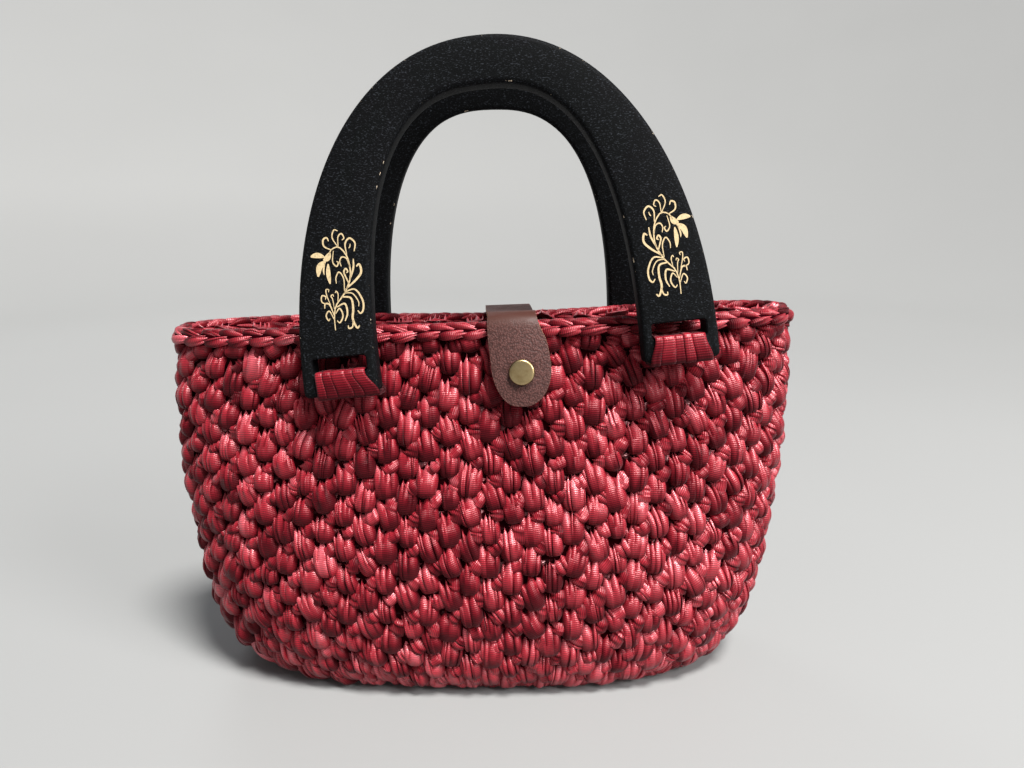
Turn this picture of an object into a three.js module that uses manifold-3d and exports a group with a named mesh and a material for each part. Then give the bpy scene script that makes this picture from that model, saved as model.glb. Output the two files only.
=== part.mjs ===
// A crochet handbag that stands on its oval base. The hollow body and its chain-stitch rim are worked in
// ribbon yarn. Two arched wooden handles hang on ribbon loops sewn to the outside of the wall, and a leather
// tab closes over the mouth with a press snap. The bag is handmade: its rim climbs a little to the right,
// and the handles and the tab sit right of the body's middle, the front handle turned in its own plane.
// Millimetres, +Z up, the front faces -Y, and the origin is on the floor under the middle of the body.
import * as THREE from "three";
import { mergeVertices } from "three/addons/utils/BufferGeometryUtils.js";
import Module from "manifold-3d";

const wasm = await Module();
wasm.setup();

// Crochet body: outer ovals from the base to the top of the wall. Squareness 2 is an ellipse.
const BODY_SECTIONS = [
  { height: 0, halfLength: 92, halfDepth: 35, squareness: 2.5 },
  { height: 5, halfLength: 104, halfDepth: 41.5, squareness: 2.5 },
  { height: 16, halfLength: 112.5, halfDepth: 45, squareness: 2.5 },
  { height: 40, halfLength: 120, halfDepth: 45.5, squareness: 2.6 },
  { height: 75, halfLength: 124.5, halfDepth: 39.5, squareness: 2.8 },
  { height: 110, halfLength: 127, halfDepth: 30.5, squareness: 3 },
  { height: 142, halfLength: 126, halfDepth: 22.5, squareness: 3.2 },
];
const WALL_TOP = BODY_SECTIONS.at(-1).height;
const WALL_THICKNESS = 8;
const RIM_CLIMB = 0.036; // rise of the rim for each millimetre to the right
const BACK_DIP = { depth: 2.5, reach: 60 }; // where the tab pulls the back rim down
const OUTER_STATIONS = 14;
const INNER_STATIONS = 10;
const OVAL_SIDES = 72;

// Chain-stitch rim: a thick braid that lies on top of the wall
const RIM = { diameter: 7.8, outset: 0.8, sides: 10 };

// Wooden handles: a flat board between two superellipse arches, with a slot in each foot
const HANDLE = {
  thickness: 10,
  roundover: 2,
  outer: { halfWidth: 77, height: 122, power: 2.15, segments: 40 },
  inner: { halfWidth: 49, height: 105, power: 2.6, segments: 32 },
};
const SLOT = { centre: 62.5, bottom: 8.2, length: 20, height: 6, corner: 1.2 };
const HANDLE_LEAN = 8; // degrees, each handle leaning in over the mouth
const FRONT_HANDLE = { x: 12.5, seat: 27.8, z: 130.5, turn: 6 };
const BACK_HANDLE = { x: 7, seat: 28.4, z: 126, turn: -1.2 };

// Ribbon loops: a band through the slot and round the foot, flaring below it
const LOOP = { thickness: 1.1, topWidth: 18.4, bottomWidth: 23, corner: 1.2 };

// Leather tab: a strap from the back wall over the mouth, which widens to its rounded front end
const TAB = {
  backWidth: 18.7,
  frontWidth: 22.7,
  widens: { from: 0.36, to: 0.89 }, // shares of its length, from the back rim to the snap
  thickness: 2,
  frontX: 16.2,
  rimX: 14.1, // over the front rim
  backX: 10.4,
  frontEnd: 119.5,
  backEnd: 112,
  frontLift: 3.2, // off the wall at the snap
  rimSlack: 0.5, // over the rim
  sag: 1.2,
  roundEnd: 15.5, // length of the rounded front end
  bluntEnd: 2.5, // width left at its tip
  corner: 3,
  stations: 56,
};

// Press snap: a domed cap on the tab, profiled in shares of its size, and a plain hidden post behind it
const SNAP = { height: 132, capDiameter: 9.8, capRise: 1.8, postDiameter: 4, flangeDiameter: 9, sides: 24 };
const CAP_PROFILE = [
  { radius: 0, rise: 0 },
  { radius: 0.92, rise: 0 },
  { radius: 1, rise: 0.25 },
  { radius: 0.98, rise: 0.6 },
  { radius: 0.9, rise: 0.86 },
  { radius: 0.72, rise: 0.97 },
  { radius: 0, rise: 1 },
];

const GAP = 0.3; // between touching pieces
const HALVINGS = 30; // of a curve, when a place on it is looked for by its height
const { clamp, degToRad, lerp, mapLinear, smoothstep } = THREE.MathUtils;

const MATERIALS = {
  ribbonYarn: new THREE.MeshStandardMaterial({ color: 0x9c2a38, roughness: 0.45 }),
  blackWood: new THREE.MeshStandardMaterial({ color: 0x17181a, roughness: 0.5 }),
  brownLeather: new THREE.MeshStandardMaterial({ color: 0x573530, roughness: 0.5 }),
  brass: new THREE.MeshStandardMaterial({ color: 0xa8945f, roughness: 0.35, metalness: 1 }),
};

// An oval round the bag: x and y on a superellipse, and more of the rim's climb and dip the higher it lies
class Oval extends THREE.Curve {
  constructor({ height, halfLength, halfDepth, squareness }) {
    super();
    Object.assign(this, { height, halfLength, halfDepth, squareness });
  }

  getPoint(t, target = new THREE.Vector3()) {
    const angle = 2 * Math.PI * t;
    const along = signedPower(Math.cos(angle), 2 / this.squareness);
    const across = signedPower(Math.sin(angle), 2 / this.squareness);
    const x = this.halfLength * along;
    return target.set(x, this.halfDepth * across, climbed(x, this.height) - dip(x, across, this.height));
  }
}

function signedPower(value, power) {
  return Math.sign(value) * Math.abs(value) ** power;
}

function climbed(x, height) {
  return height + RIM_CLIMB * x * Math.min(height / WALL_TOP, 1);
}

function dip(x, across, height) {
  const along = Math.exp(-(((x - TAB.backX) / BACK_DIP.reach) ** 2));
  return BACK_DIP.depth * along * Math.max(across, 0) * Math.min(height / WALL_TOP, 1) ** 3;
}

// The body's outer oval at a place from 0, the base, to 1, the top of the wall
const meridian = new THREE.CatmullRomCurve3(
  BODY_SECTIONS.map((row) => new THREE.Vector3(row.halfLength, row.halfDepth, row.height)),
  false,
  "centripetal",
);

function bodySection(place) {
  const { x: halfLength, y: halfDepth, z } = meridian.getPointAt(place);
  const height = clamp(z, 0, WALL_TOP);
  const above = Math.max(BODY_SECTIONS.findIndex((row) => row.height >= height), 1);
  const [lower, upper] = BODY_SECTIONS.slice(above - 1, above + 1);
  const squareness = mapLinear(height, lower.height, upper.height, lower.squareness, upper.squareness);
  return { height, halfLength, halfDepth, squareness };
}

// The place on a curve that has a given z, between a lower and a higher place
function placeAtHeight(curve, height, low, high) {
  for (let step = 0; step < HALVINGS; step++) {
    const middle = (low + high) / 2;
    if (curve.getPointAt(middle).z < height) low = middle;
    else high = middle;
  }
  return high;
}

function sectionAtHeight(height) {
  return bodySection(placeAtHeight(meridian, height, 0, 1));
}

// How far the outer wall stands from the middle plane at a place on the front or back
function wallDepth(x, z) {
  const { halfLength, halfDepth, squareness } = sectionAtHeight(z / (1 + (RIM_CLIMB * x) / WALL_TOP));
  return halfDepth * (1 - (Math.abs(x) / halfLength) ** squareness) ** (1 / squareness);
}

// A closed surface over rings of equal counts, with a fan over the first and last ring
function skin(rings) {
  const count = rings[0].length;
  const centres = [rings[0], rings.at(-1)].map((ring) =>
    ring.reduce((sum, point) => sum.add(point), new THREE.Vector3()).divideScalar(count),
  );
  const points = [...rings.flat(), ...centres];
  const first = points.length - 2;
  const last = points.length - 1;
  const top = (rings.length - 1) * count;
  const faces = [];
  for (let side = 0; side < count; side++) {
    const next = (side + 1) % count;
    faces.push(first, next, side, last, top + side, top + next);
    for (let row = 0; row < top; row += count) {
      faces.push(row + side, row + next, row + count + next);
      faces.push(row + side, row + count + next, row + count + side);
    }
  }
  return new THREE.BufferGeometry().setFromPoints(points).setIndex(faces);
}

function spacedOval(section) {
  return new Oval(section).getSpacedPoints(OVAL_SIDES).slice(0, OVAL_SIDES);
}

function crochetBody() {
  const outer = [];
  for (let k = 0; k <= OUTER_STATIONS; k++) {
    outer.push(spacedOval(bodySection(k / OUTER_STATIONS)));
  }
  const inner = [];
  for (let k = 0; k <= INNER_STATIONS; k++) {
    const height = lerp(WALL_TOP, WALL_THICKNESS, k / INNER_STATIONS);
    const section = sectionAtHeight(height);
    inner.push(
      spacedOval({
        ...section,
        height,
        halfLength: section.halfLength - WALL_THICKNESS,
        halfDepth: section.halfDepth - WALL_THICKNESS,
      }),
    );
  }
  return skin([...outer, ...inner]);
}

// Centreline of the rim braid, on the middle of the wall's top and a little outside it
function rimOval() {
  const top = BODY_SECTIONS.at(-1);
  const inset = WALL_THICKNESS / 2 - RIM.outset;
  return new Oval({
    height: WALL_TOP + GAP + RIM.diameter / 2,
    halfLength: top.halfLength - inset,
    halfDepth: top.halfDepth - inset,
    squareness: top.squareness,
  });
}

function rimBraid() {
  const centreline = new THREE.CatmullRomCurve3(spacedOval(rimOval()), true);
  return new THREE.TubeGeometry(centreline, OVAL_SIDES, RIM.diameter / 2, RIM.sides, true);
}

function archPoints({ halfWidth, height, power, segments }) {
  return Array.from({ length: segments + 1 }, (_, k) => {
    const angle = (Math.PI * k) / segments;
    return new THREE.Vector2(
      halfWidth * signedPower(Math.cos(angle), 2 / power),
      height * Math.max(Math.sin(angle), 0) ** (2 / power),
    );
  });
}

function roundedRectangle(path, left, bottom, width, height, corner) {
  const right = left + width;
  const top = bottom + height;
  path.absarc(right - corner, bottom + corner, corner, -Math.PI / 2, 0);
  path.absarc(right - corner, top - corner, corner, 0, Math.PI / 2);
  path.absarc(left + corner, top - corner, corner, Math.PI / 2, Math.PI);
  path.absarc(left + corner, bottom + corner, corner, Math.PI, 1.5 * Math.PI);
  path.closePath();
  return path;
}

// The board stands in the XZ plane with its feet on z = 0 and its back on y = 0
function handleBoard() {
  const outline = new THREE.Shape([...archPoints(HANDLE.outer), ...archPoints(HANDLE.inner).reverse()]);
  const board = new THREE.ExtrudeGeometry(outline, {
    depth: HANDLE.thickness - 2 * HANDLE.roundover,
    bevelThickness: HANDLE.roundover,
    bevelSize: HANDLE.roundover,
    bevelOffset: -HANDLE.roundover,
    bevelSegments: 2,
  }).translate(0, 0, HANDLE.roundover);
  const slotted = [-1, 1].reduce((wood, side) => cutAway(wood, footSlot(side)), board);
  return slotted.rotateX(Math.PI / 2);
}

function footSlot(side) {
  const left = side * SLOT.centre - SLOT.length / 2;
  const slot = roundedRectangle(new THREE.Shape(), left, SLOT.bottom, SLOT.length, SLOT.height, SLOT.corner);
  return new THREE.ExtrudeGeometry(slot, {
    depth: 2 * HANDLE.thickness,
    bevelEnabled: false,
    curveSegments: 3,
  }).translate(0, 0, -HANDLE.thickness / 2);
}

// A band round the bar under the slot, in the handle's own frame. The back layer reaches to the wall.
function ribbonLoop(side, backLayer) {
  const inner = { left: -HANDLE.thickness - GAP, bottom: -GAP, height: SLOT.bottom + 2 * GAP };
  inner.width = HANDLE.thickness + 2 * GAP;
  const band = LOOP.thickness;
  const ring = roundedRectangle(
    new THREE.Shape(),
    inner.left - band,
    inner.bottom - band,
    inner.width + band + backLayer,
    inner.height + 2 * band,
    LOOP.corner,
  );
  ring.holes.push(
    roundedRectangle(new THREE.Path(), inner.left, inner.bottom, inner.width, inner.height, LOOP.corner / 4),
  );
  const toHandleFrame = new THREE.Matrix4().makeBasis(
    new THREE.Vector3(0, 1, 0),
    new THREE.Vector3(0, 0, 1),
    new THREE.Vector3(1, 0, 0),
  );
  const flat = { depth: LOOP.topWidth, bevelEnabled: false, curveSegments: 3 };
  const loop = new THREE.ExtrudeGeometry(ring, flat)
    .translate(0, 0, -LOOP.topWidth / 2)
    .applyMatrix4(toHandleFrame);
  const places = loop.attributes.position;
  for (let k = 0; k < places.count; k++) {
    const below = smoothstep(SLOT.bottom - places.getZ(k), 0, SLOT.bottom + GAP + band);
    const flare = lerp(1, LOOP.bottomWidth / LOOP.topWidth, below);
    places.setX(k, places.getX(k) * flare + side * SLOT.centre);
  }
  return loop;
}

// Room between a handle's back face and the wall behind one foot, where the loop's back layer goes
function roomAtWall(board, side) {
  const rooms = [];
  for (const across of [-0.5, 0, 0.5]) {
    for (const up of [-GAP - LOOP.thickness, SLOT.bottom + GAP + LOOP.thickness]) {
      const place = new THREE.Vector3(side * SLOT.centre + across * LOOP.bottomWidth, 0, up);
      const { x, y, z } = board.localToWorld(place);
      rooms.push(Math.abs(y) - wallDepth(x, z));
    }
  }
  return Math.min(...rooms) * Math.cos(degToRad(HANDLE_LEAN));
}

function handleWithLoops(name, { x, seat, z, turn, facing }) {
  const board = new THREE.Group();
  board.rotation.set(-degToRad(HANDLE_LEAN), -degToRad(turn), 0);
  const stand = new THREE.Group().add(board);
  stand.position.set(x, -facing * seat, z);
  stand.rotation.z = facing < 0 ? Math.PI : 0;
  stand.updateMatrixWorld(true);
  board.add(part(`handle_${name}`, handleBoard(), MATERIALS.blackWood));
  for (const [word, side] of [["left", -facing], ["right", facing]]) {
    const backLayer = roomAtWall(board, side) - 2 * GAP;
    board.add(part(`ribbon_loop_${name}_${word}`, ribbonLoop(side, backLayer), MATERIALS.ribbonYarn));
  }
  return stand;
}

// Middle line of the leather tab, in the YZ plane with a small drift along X, from the back end to the front
function tabLine() {
  const rim = rimOval();
  const bend = RIM.diameter / 2 + GAP + TAB.rimSlack + TAB.thickness / 2;
  const offWall = GAP + TAB.thickness / 2;
  const middleX = (TAB.frontX + TAB.backX) / 2;
  const rimCentre = (side) => climbed(middleX, rim.height) - dip(middleX, side, rim.height);
  const span = rim.halfDepth;
  const wallAt = (height) => wallDepth(middleX, height);
  const overRim = (side, angle) => [
    side * (span + bend * Math.cos(angle)),
    rimCentre(side) + bend * Math.sin(angle),
  ];
  const quarter = Math.PI / 4;
  const stops = [
    [wallAt(TAB.backEnd) + offWall, TAB.backEnd],
    [wallAt(SNAP.height) + offWall + GAP, SNAP.height],
    overRim(1, 0),
    overRim(1, quarter),
    overRim(1, 2 * quarter),
    [0, (rimCentre(1) + rimCentre(-1)) / 2 + bend - TAB.sag],
    overRim(-1, 2 * quarter),
    overRim(-1, quarter),
    overRim(-1, 0),
    [-wallAt(SNAP.height) - offWall - TAB.frontLift + GAP, SNAP.height],
    [-wallAt(TAB.frontEnd) - offWall - TAB.frontLift + GAP, TAB.frontEnd],
  ];
  const drift = (y, z) => {
    const overMouth = mapLinear(clamp(y, -span, span), -span, span, TAB.rimX, TAB.backX);
    const hanging = y < -span ? clamp((rim.height - z) / (rim.height - SNAP.height), 0, 1) : 0;
    return lerp(overMouth, TAB.frontX, hanging);
  };
  const points = stops.map(([y, z]) => new THREE.Vector3(drift(y, z), y, z));
  return new THREE.CatmullRomCurve3(points, false, "centripetal");
}

// Half the tab's width at a distance from its back and front ends
function tabHalfWidth(fromBack, fromFront) {
  const { from, to } = TAB.widens;
  const place = clamp(fromBack / (fromBack + fromFront), from, to);
  const half = mapLinear(place, from, to, TAB.backWidth, TAB.frontWidth) / 2;
  const round = (distance, length, depth) => {
    const share = Math.max(1 - distance / length, 0);
    return depth * (1 - Math.sqrt(Math.max(1 - share ** 2, 0)));
  };
  const front = round(fromFront, TAB.roundEnd, half - TAB.bluntEnd / 2);
  return half - front - round(fromBack, TAB.corner, TAB.corner);
}

// Outward normal and sideways direction of the tab at a place on its middle line. It follows the rim's climb.
function tabFrame(line, place) {
  const tangent = line.getTangentAt(place);
  const sideways = new THREE.Vector3(1, 0, RIM_CLIMB);
  sideways.addScaledVector(tangent, -sideways.dot(tangent)).normalize();
  return { sideways, outward: new THREE.Vector3().crossVectors(sideways, tangent).negate() };
}

function tabStrap(line) {
  const length = line.getLength();
  const rings = [];
  for (let k = 0; k <= TAB.stations; k++) {
    // Stations crowd towards the rounded ends
    const place = (1 - Math.cos((Math.PI * k) / TAB.stations)) / 2;
    const centre = line.getPointAt(place);
    const { sideways, outward } = tabFrame(line, place);
    sideways.multiplyScalar(tabHalfWidth(place * length, (1 - place) * length));
    outward.multiplyScalar(TAB.thickness / 2);
    const corner = (across, up) =>
      centre.clone().addScaledVector(sideways, across).addScaledVector(outward, up);
    rings.push([corner(-1, -1), corner(1, -1), corner(1, 1), corner(-1, 1)]);
  }
  return skin(rings);
}

// The snap's axis: its place on the tab's middle line and the way it points
function snapAxis(line) {
  const place = placeAtHeight(line, SNAP.height, 1, 0.5);
  return { centre: line.getPointAt(place), outward: tabFrame(line, place).outward };
}

function turned(profile, { centre, outward }) {
  const points = profile.map(([radius, along]) => new THREE.Vector2(radius, along));
  const turn = new THREE.Quaternion().setFromUnitVectors(new THREE.Vector3(0, 1, 0), outward);
  return new THREE.LatheGeometry(points, SNAP.sides)
    .applyQuaternion(turn)
    .translate(centre.x, centre.y, centre.z);
}

function snapCap(axis) {
  const seat = TAB.thickness / 2 + GAP;
  const profile = CAP_PROFILE.map(({ radius, rise }) => [
    (radius * SNAP.capDiameter) / 2,
    seat + rise * SNAP.capRise,
  ]);
  return turned(profile, axis);
}

function snapPost(axis) {
  const shank = SNAP.postDiameter / 2;
  const flange = SNAP.flangeDiameter / 2;
  const face = TAB.thickness / 2;
  const back = face + TAB.frontLift - 2 * GAP;
  return turned(
    [
      [0, -back],
      [flange, -back],
      [flange, -face - GAP],
      [shank, -face - GAP],
      [shank, face],
      [0, face],
    ],
    axis,
  );
}

function postHole(axis) {
  const radius = SNAP.postDiameter / 2 + GAP;
  const depth = TAB.thickness;
  return turned([[0, -depth], [radius, -depth], [radius, depth], [0, depth]], axis);
}

function solidOf(geometry) {
  const bare = geometry.clone();
  bare.deleteAttribute("normal");
  bare.deleteAttribute("uv");
  const merged = mergeVertices(bare, 1e-3);
  return new wasm.Manifold(
    new wasm.Mesh({
      numProp: 3,
      vertProperties: merged.attributes.position.array,
      triVerts: new Uint32Array(merged.index.array),
    }),
  );
}

function cutAway(geometry, tool) {
  const { vertProperties, triVerts } = solidOf(geometry).subtract(solidOf(tool)).getMesh();
  return new THREE.BufferGeometry()
    .setAttribute("position", new THREE.BufferAttribute(vertProperties, 3))
    .setIndex(new THREE.BufferAttribute(triVerts, 1));
}

function part(name, geometry, material) {
  const mesh = new THREE.Mesh(geometry, material);
  mesh.name = name;
  return mesh;
}

const handbag = new THREE.Group();
handbag.add(part("crochet_body", crochetBody(), MATERIALS.ribbonYarn));
handbag.add(part("rim_braid", rimBraid(), MATERIALS.ribbonYarn));
handbag.add(handleWithLoops("front", { ...FRONT_HANDLE, facing: 1 }));
handbag.add(handleWithLoops("back", { ...BACK_HANDLE, facing: -1 }));

const line = tabLine();
const axis = snapAxis(line);
handbag.add(part("leather_tab", cutAway(tabStrap(line), postHole(axis)), MATERIALS.brownLeather));
handbag.add(part("snap_cap", snapCap(axis), MATERIALS.brass));
handbag.add(part("snap_post", snapPost(axis), MATERIALS.brass));

export default handbag;
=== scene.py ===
"""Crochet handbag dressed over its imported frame.

Ribbon stitches worked in rounds, a chain-stitch rim, black painted handles with gold ink ornament, ribbon
loops, a leather tab and a brass press snap. Metres, +Z up, the front faces -Y.
"""

import math

import bmesh
import bpy
import numpy as np
from bpy.props import FloatProperty, FloatVectorProperty, IntProperty, PointerProperty
from mathutils import Matrix, Vector
from mathutils.bvhtree import BVHTree


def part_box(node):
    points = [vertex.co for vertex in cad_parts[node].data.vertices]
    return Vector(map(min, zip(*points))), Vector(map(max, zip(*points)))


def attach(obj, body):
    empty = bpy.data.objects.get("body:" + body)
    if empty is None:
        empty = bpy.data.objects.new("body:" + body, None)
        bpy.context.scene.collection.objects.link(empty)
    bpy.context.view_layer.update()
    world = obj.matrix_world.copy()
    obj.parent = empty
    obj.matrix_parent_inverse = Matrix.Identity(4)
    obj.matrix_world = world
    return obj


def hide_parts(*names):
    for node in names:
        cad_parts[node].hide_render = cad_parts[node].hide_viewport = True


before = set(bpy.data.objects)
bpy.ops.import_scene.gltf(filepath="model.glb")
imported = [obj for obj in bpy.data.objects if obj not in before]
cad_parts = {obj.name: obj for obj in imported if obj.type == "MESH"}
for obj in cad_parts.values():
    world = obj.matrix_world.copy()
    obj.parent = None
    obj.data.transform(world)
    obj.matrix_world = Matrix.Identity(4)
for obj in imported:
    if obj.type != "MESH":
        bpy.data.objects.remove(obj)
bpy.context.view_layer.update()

bl_info = {
    "name": "Crochet Handbag",
    "version": (1, 0, 0),
    "blender": (4, 5, 0),
    "location": "View3D > Sidebar > Handbag",
    "description": "Dresses the packed handbag in ribbon stitches, painted wood, leather and brass",
    "category": "Object",
}

MM = 0.001


# Settings


def linear(hexcode):
    """An sRGB hex colour as linear red, green and blue."""
    shares = [int(hexcode[k : k + 2], 16) / 255 for k in (1, 3, 5)]
    return tuple(c / 12.92 if c <= 0.04045 else ((c + 0.055) / 1.055) ** 2.4 for c in shares)


def length(name, description, millimetres):
    metres = millimetres * MM
    return FloatProperty(name=name, description=description, default=metres, unit="LENGTH", precision=4)


def angle(name, description, degrees):
    return FloatProperty(name=name, description=description, default=math.radians(degrees), subtype="ANGLE")


def share(name, description, default):
    return FloatProperty(name=name, description=description, default=default, min=0, max=1, subtype="FACTOR")


def number(name, description, default):
    return FloatProperty(name=name, description=description, default=default)


def whole_number(name, description, default):
    return IntProperty(name=name, description=description, default=default)


def colour(name, description, hexcode):
    rgb = linear(hexcode)
    return FloatVectorProperty(
        name=name, description=description, default=rgb, size=3, min=0, max=1, subtype="COLOR"
    )


class StitchSettings(bpy.types.PropertyGroup):
    """The ribbon stitches of the wall, the base and the inside"""

    row_height: length("Row height", "Height of one round of stitches", 6.6)
    repeat: length("Repeat", "Length of ribbon work from one stitch to the next in a round", 16.2)
    width: length("Width", "Width of a stitch over the wall", 8.8)
    height: length("Height", "Height of a stitch, which reaches over the next round", 16.2)
    depth: length("Depth", "How far a stitch's ends are tucked in behind its belly", 5.0)
    lean: angle("Lean", "Lean of the stitches' tops to the left", 6)
    lean_spread: angle("Lean spread", "How much the lean varies from stitch to stitch", 9)
    knot_width: length("Knot width", "Width of the small knot beside each stitch", 7.0)
    knot_height: length("Knot height", "Height of the small knot beside each stitch", 7.8)
    inside_depth: length("Inside depth", "Depth of the flatter stitches inside the bag", 2.0)
    # The core is a dark sheet of painted shade, seen between the stitches.
    core_depth: length("Core depth", "Depth of the dark ribbon core under the wall's surface", 4.0)
    core_thickness: length("Core thickness", "Thickness of the dark ribbon core", 1.2)
    seed: whole_number("Seed", "Start of the random draws for the stitches", 11)


class RimSettings(bpy.types.PropertyGroup):
    """The chain-stitch rim on top of the wall"""

    pitch: length("Pitch", "Length from one chain stitch to the next", 9.6)
    leg_length: length("Leg length", "Length of each leg of a chain stitch", 14.5)
    leg_width: length("Leg width", "Width of each leg of a chain stitch", 6.0)
    leg_depth: length("Leg depth", "How far the ends of a leg are tucked in", 2.8)
    slant: angle("Slant", "Slant of the legs to the rim", 13)
    # The core is a dark sheet of painted shade, seen between the chains.
    core_share: share("Core share", "Radius of the dark core as a share of the rim's", 0.62)
    seed: whole_number("Seed", "Start of the random draws for the rim", 23)


class HandleSettings(bpy.types.PropertyGroup):
    """The wooden handles"""

    roundover: length("Roundover", "Radius of the board's edges", 2.0)
    outer_power: number("Outer squareness", "2 is an ellipse", 2.15)
    inner_power: number("Inner squareness", "2 is an ellipse", 2.6)
    slot_centre: length("Slot centre", "From the handle's middle to the middle of a slot", 62.5)
    slot_bottom: length("Slot bottom", "From the foot to the slot", 8.2)
    slot_length: length("Slot length", "Length of a slot", 20)
    slot_height: length("Slot height", "Height of a slot", 6)
    slot_corner: length("Slot corner", "Radius of the slot's corners", 1.2)
    slot_chamfer: length("Slot chamfer", "Broken edge round the slot's mouths", 0.5)
    ornament_centre: length("Ornament centre", "From the handle's middle to the ornament", 59.95)
    ornament_shift: length("Ornament shift", "How far both ornaments are printed to the right", 1.05)
    ornament_height: length("Ornament height", "From the foot to the ornament's middle", 42.1)
    ink_thickness: length("Ink thickness", "Thickness of the gold ink on the paint", 0.1)


class LoopSettings(bpy.types.PropertyGroup):
    """The ribbon loops that hold the handles"""

    ribbons: whole_number("Ribbons", "Ribbons side by side in a loop", 5)
    ribbon_thickness: length("Thickness", "Thickness of a folded ribbon", 0.9)
    top_width: length("Top width", "Width of the ribbons in the slot", 18.2)
    flare: length("Flare", "Extra width of the ribbons below the foot", 4.4)
    seed: whole_number("Seed", "Start of the random draws for the loops", 5)


class TabSettings(bpy.types.PropertyGroup):
    """The leather tab and the snap"""

    edge_radius: length("Edge radius", "Radius of the tab's worn cut edges", 0.45)
    taper: length("Taper", "How far the right edge is drawn in over the front bend", 3.4)
    stitch_length: length("Stitch length", "Length of a thread stitch at the tab's back end", 3.0)
    stitch_gap: length("Stitch gap", "Gap between two thread stitches", 1.0)
    thread: length("Thread", "Diameter of the sewing thread", 0.7)
    cap_sides: whole_number("Cap sides", "Sides of the turned snap cap", 64)


class ColourSettings(bpy.types.PropertyGroup):
    """Colours of the bag and of the stage"""

    # The darkest colour is mostly painted shade, on the stitches' feet and in the loops' lower bends.
    ribbon_dark: colour("Ribbon shade", "Deepest dye of the ribbon", "#45070f")
    ribbon: colour("Ribbon", "Middle dye of the ribbon", "#981928")
    # The lightest colour is painted highlight, mostly on the stitches' tips.
    ribbon_light: colour("Ribbon light", "Worn, lightest ribbon", "#d6606b")
    # Painted shade: the colour of the dark sheets and of the deepest tucks.
    ribbon_in_shade: colour("Ribbon core", "Ribbon deep in the gaps", "#1a0205")
    paint: colour("Paint", "Black paint of the handles", "#08090a")
    paint_fleck: colour("Paint fleck", "Thin paint over the wood's pores", "#303338")
    bare_wood: colour("Bare wood", "Wood where an edge has lost its paint", "#b7a893")
    gold_ink: colour("Gold ink", "Ornament on the handles", "#cdb68c")
    leather: colour("Leather", "Face of the tab", "#563632")
    leather_light: colour("Leather bend", "Where the tab bends and rubs", "#40231c")
    leather_edge: colour("Leather edge", "Cut edge of the tab", "#b08a68")
    thread: colour("Thread", "Sewing thread", "#a08064")
    brass: colour("Brass", "Aged brass of the snap", "#a8956f")
    brass_dark: colour("Brass patina", "Dull film on the brass", "#7f6a47")
    floor: colour("Floor", "Plain pale floor", "#8b8c8c")
    sky: colour("Sky", "Soft light from all sides", "#dfe4ee")


class StageSettings(bpy.types.PropertyGroup):
    """Camera, lights and floor"""

    camera_x: length("Camera x", "Camera right of the bag's middle", 12.5)
    camera_back: length("Camera distance", "Camera in front of the bag's middle", 312)
    camera_height: length("Camera height", "Camera above the floor", 198)
    camera_pitch: angle("Camera pitch", "How far the camera looks down", 14)
    lens: number("Lens", "Focal length in millimetres on a 36 mm sensor", 27.04)
    sky_strength: number("Sky strength", "Strength of the light from all sides", 0.2)
    key_strength: number("Key strength", "Strength of the soft light above", 6.3)
    key_spread: angle("Key spread", "How large the soft light above looks", 16)
    fill_power: number("Fill power", "Power of the light from the right, in watts", 12)
    back_power: number("Back power", "Power of the light from behind, in watts", 2.5)
    wall_distance: length("Wall distance", "From the bag's middle to where the floor bends up", 1200)
    wall_slope: angle("Wall slope", "How steep the backdrop's wall is", 40)
    wall_height: length("Wall height", "Height of the backdrop's wall", 1500)
    wall_bend: length("Wall bend", "Radius of the bend from the floor to the wall", 900)


class HandbagSettings(bpy.types.PropertyGroup):
    """All settings of the handbag"""

    stitches: PointerProperty(type=StitchSettings)
    rim: PointerProperty(type=RimSettings)
    handles: PointerProperty(type=HandleSettings)
    loops: PointerProperty(type=LoopSettings)
    tab: PointerProperty(type=TabSettings)
    colours: PointerProperty(type=ColourSettings)
    stage: PointerProperty(type=StageSettings)


# Materials


def add_node(tree, kind, inputs=None, **settings):
    """Adds a shader node with its settings. An input is a value, or a (node, output) pair to link."""
    node = tree.nodes.new(f"ShaderNode{kind}")
    for name, value in settings.items():
        setattr(node, name, value)
    for socket, value in (inputs or {}).items():
        if isinstance(value, tuple) and isinstance(value[0], bpy.types.Node):
            tree.links.new(value[0].outputs[value[1]], node.inputs[socket])
        else:
            node.inputs[socket].default_value = value
    return node


def start_material(name):
    """An empty node material and its tree."""
    material = bpy.data.materials.new(name)
    material.use_nodes = True
    material.node_tree.nodes.clear()
    return material, material.node_tree


def end_material(tree, shader_inputs):
    """Adds the surface shader and the output to a material's tree."""
    shader = add_node(tree, "BsdfPrincipled", shader_inputs)
    add_node(tree, "OutputMaterial", {"Surface": (shader, "BSDF")})


def opaque(rgb):
    return (*rgb, 1.0)


def dimmed(rgb, amount):
    return tuple(amount * c for c in rgb)


def ramp_stops(node, stops):
    """Sets a colour ramp's stops from (place, colour) pairs."""
    elements = node.color_ramp.elements
    while len(elements) < len(stops):
        elements.new(0.5)
    for element, (place, rgb) in zip(elements, stops):
        element.position = place
        element.color = opaque(rgb)


RIB_PITCH = 0.9  # mm. Real grosgrain ribs lie about 0.6 mm apart, drawn coarser so that they show.
FIBRE_PITCH = 0.35  # mm between the fine lengthwise lines of the satin


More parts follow.
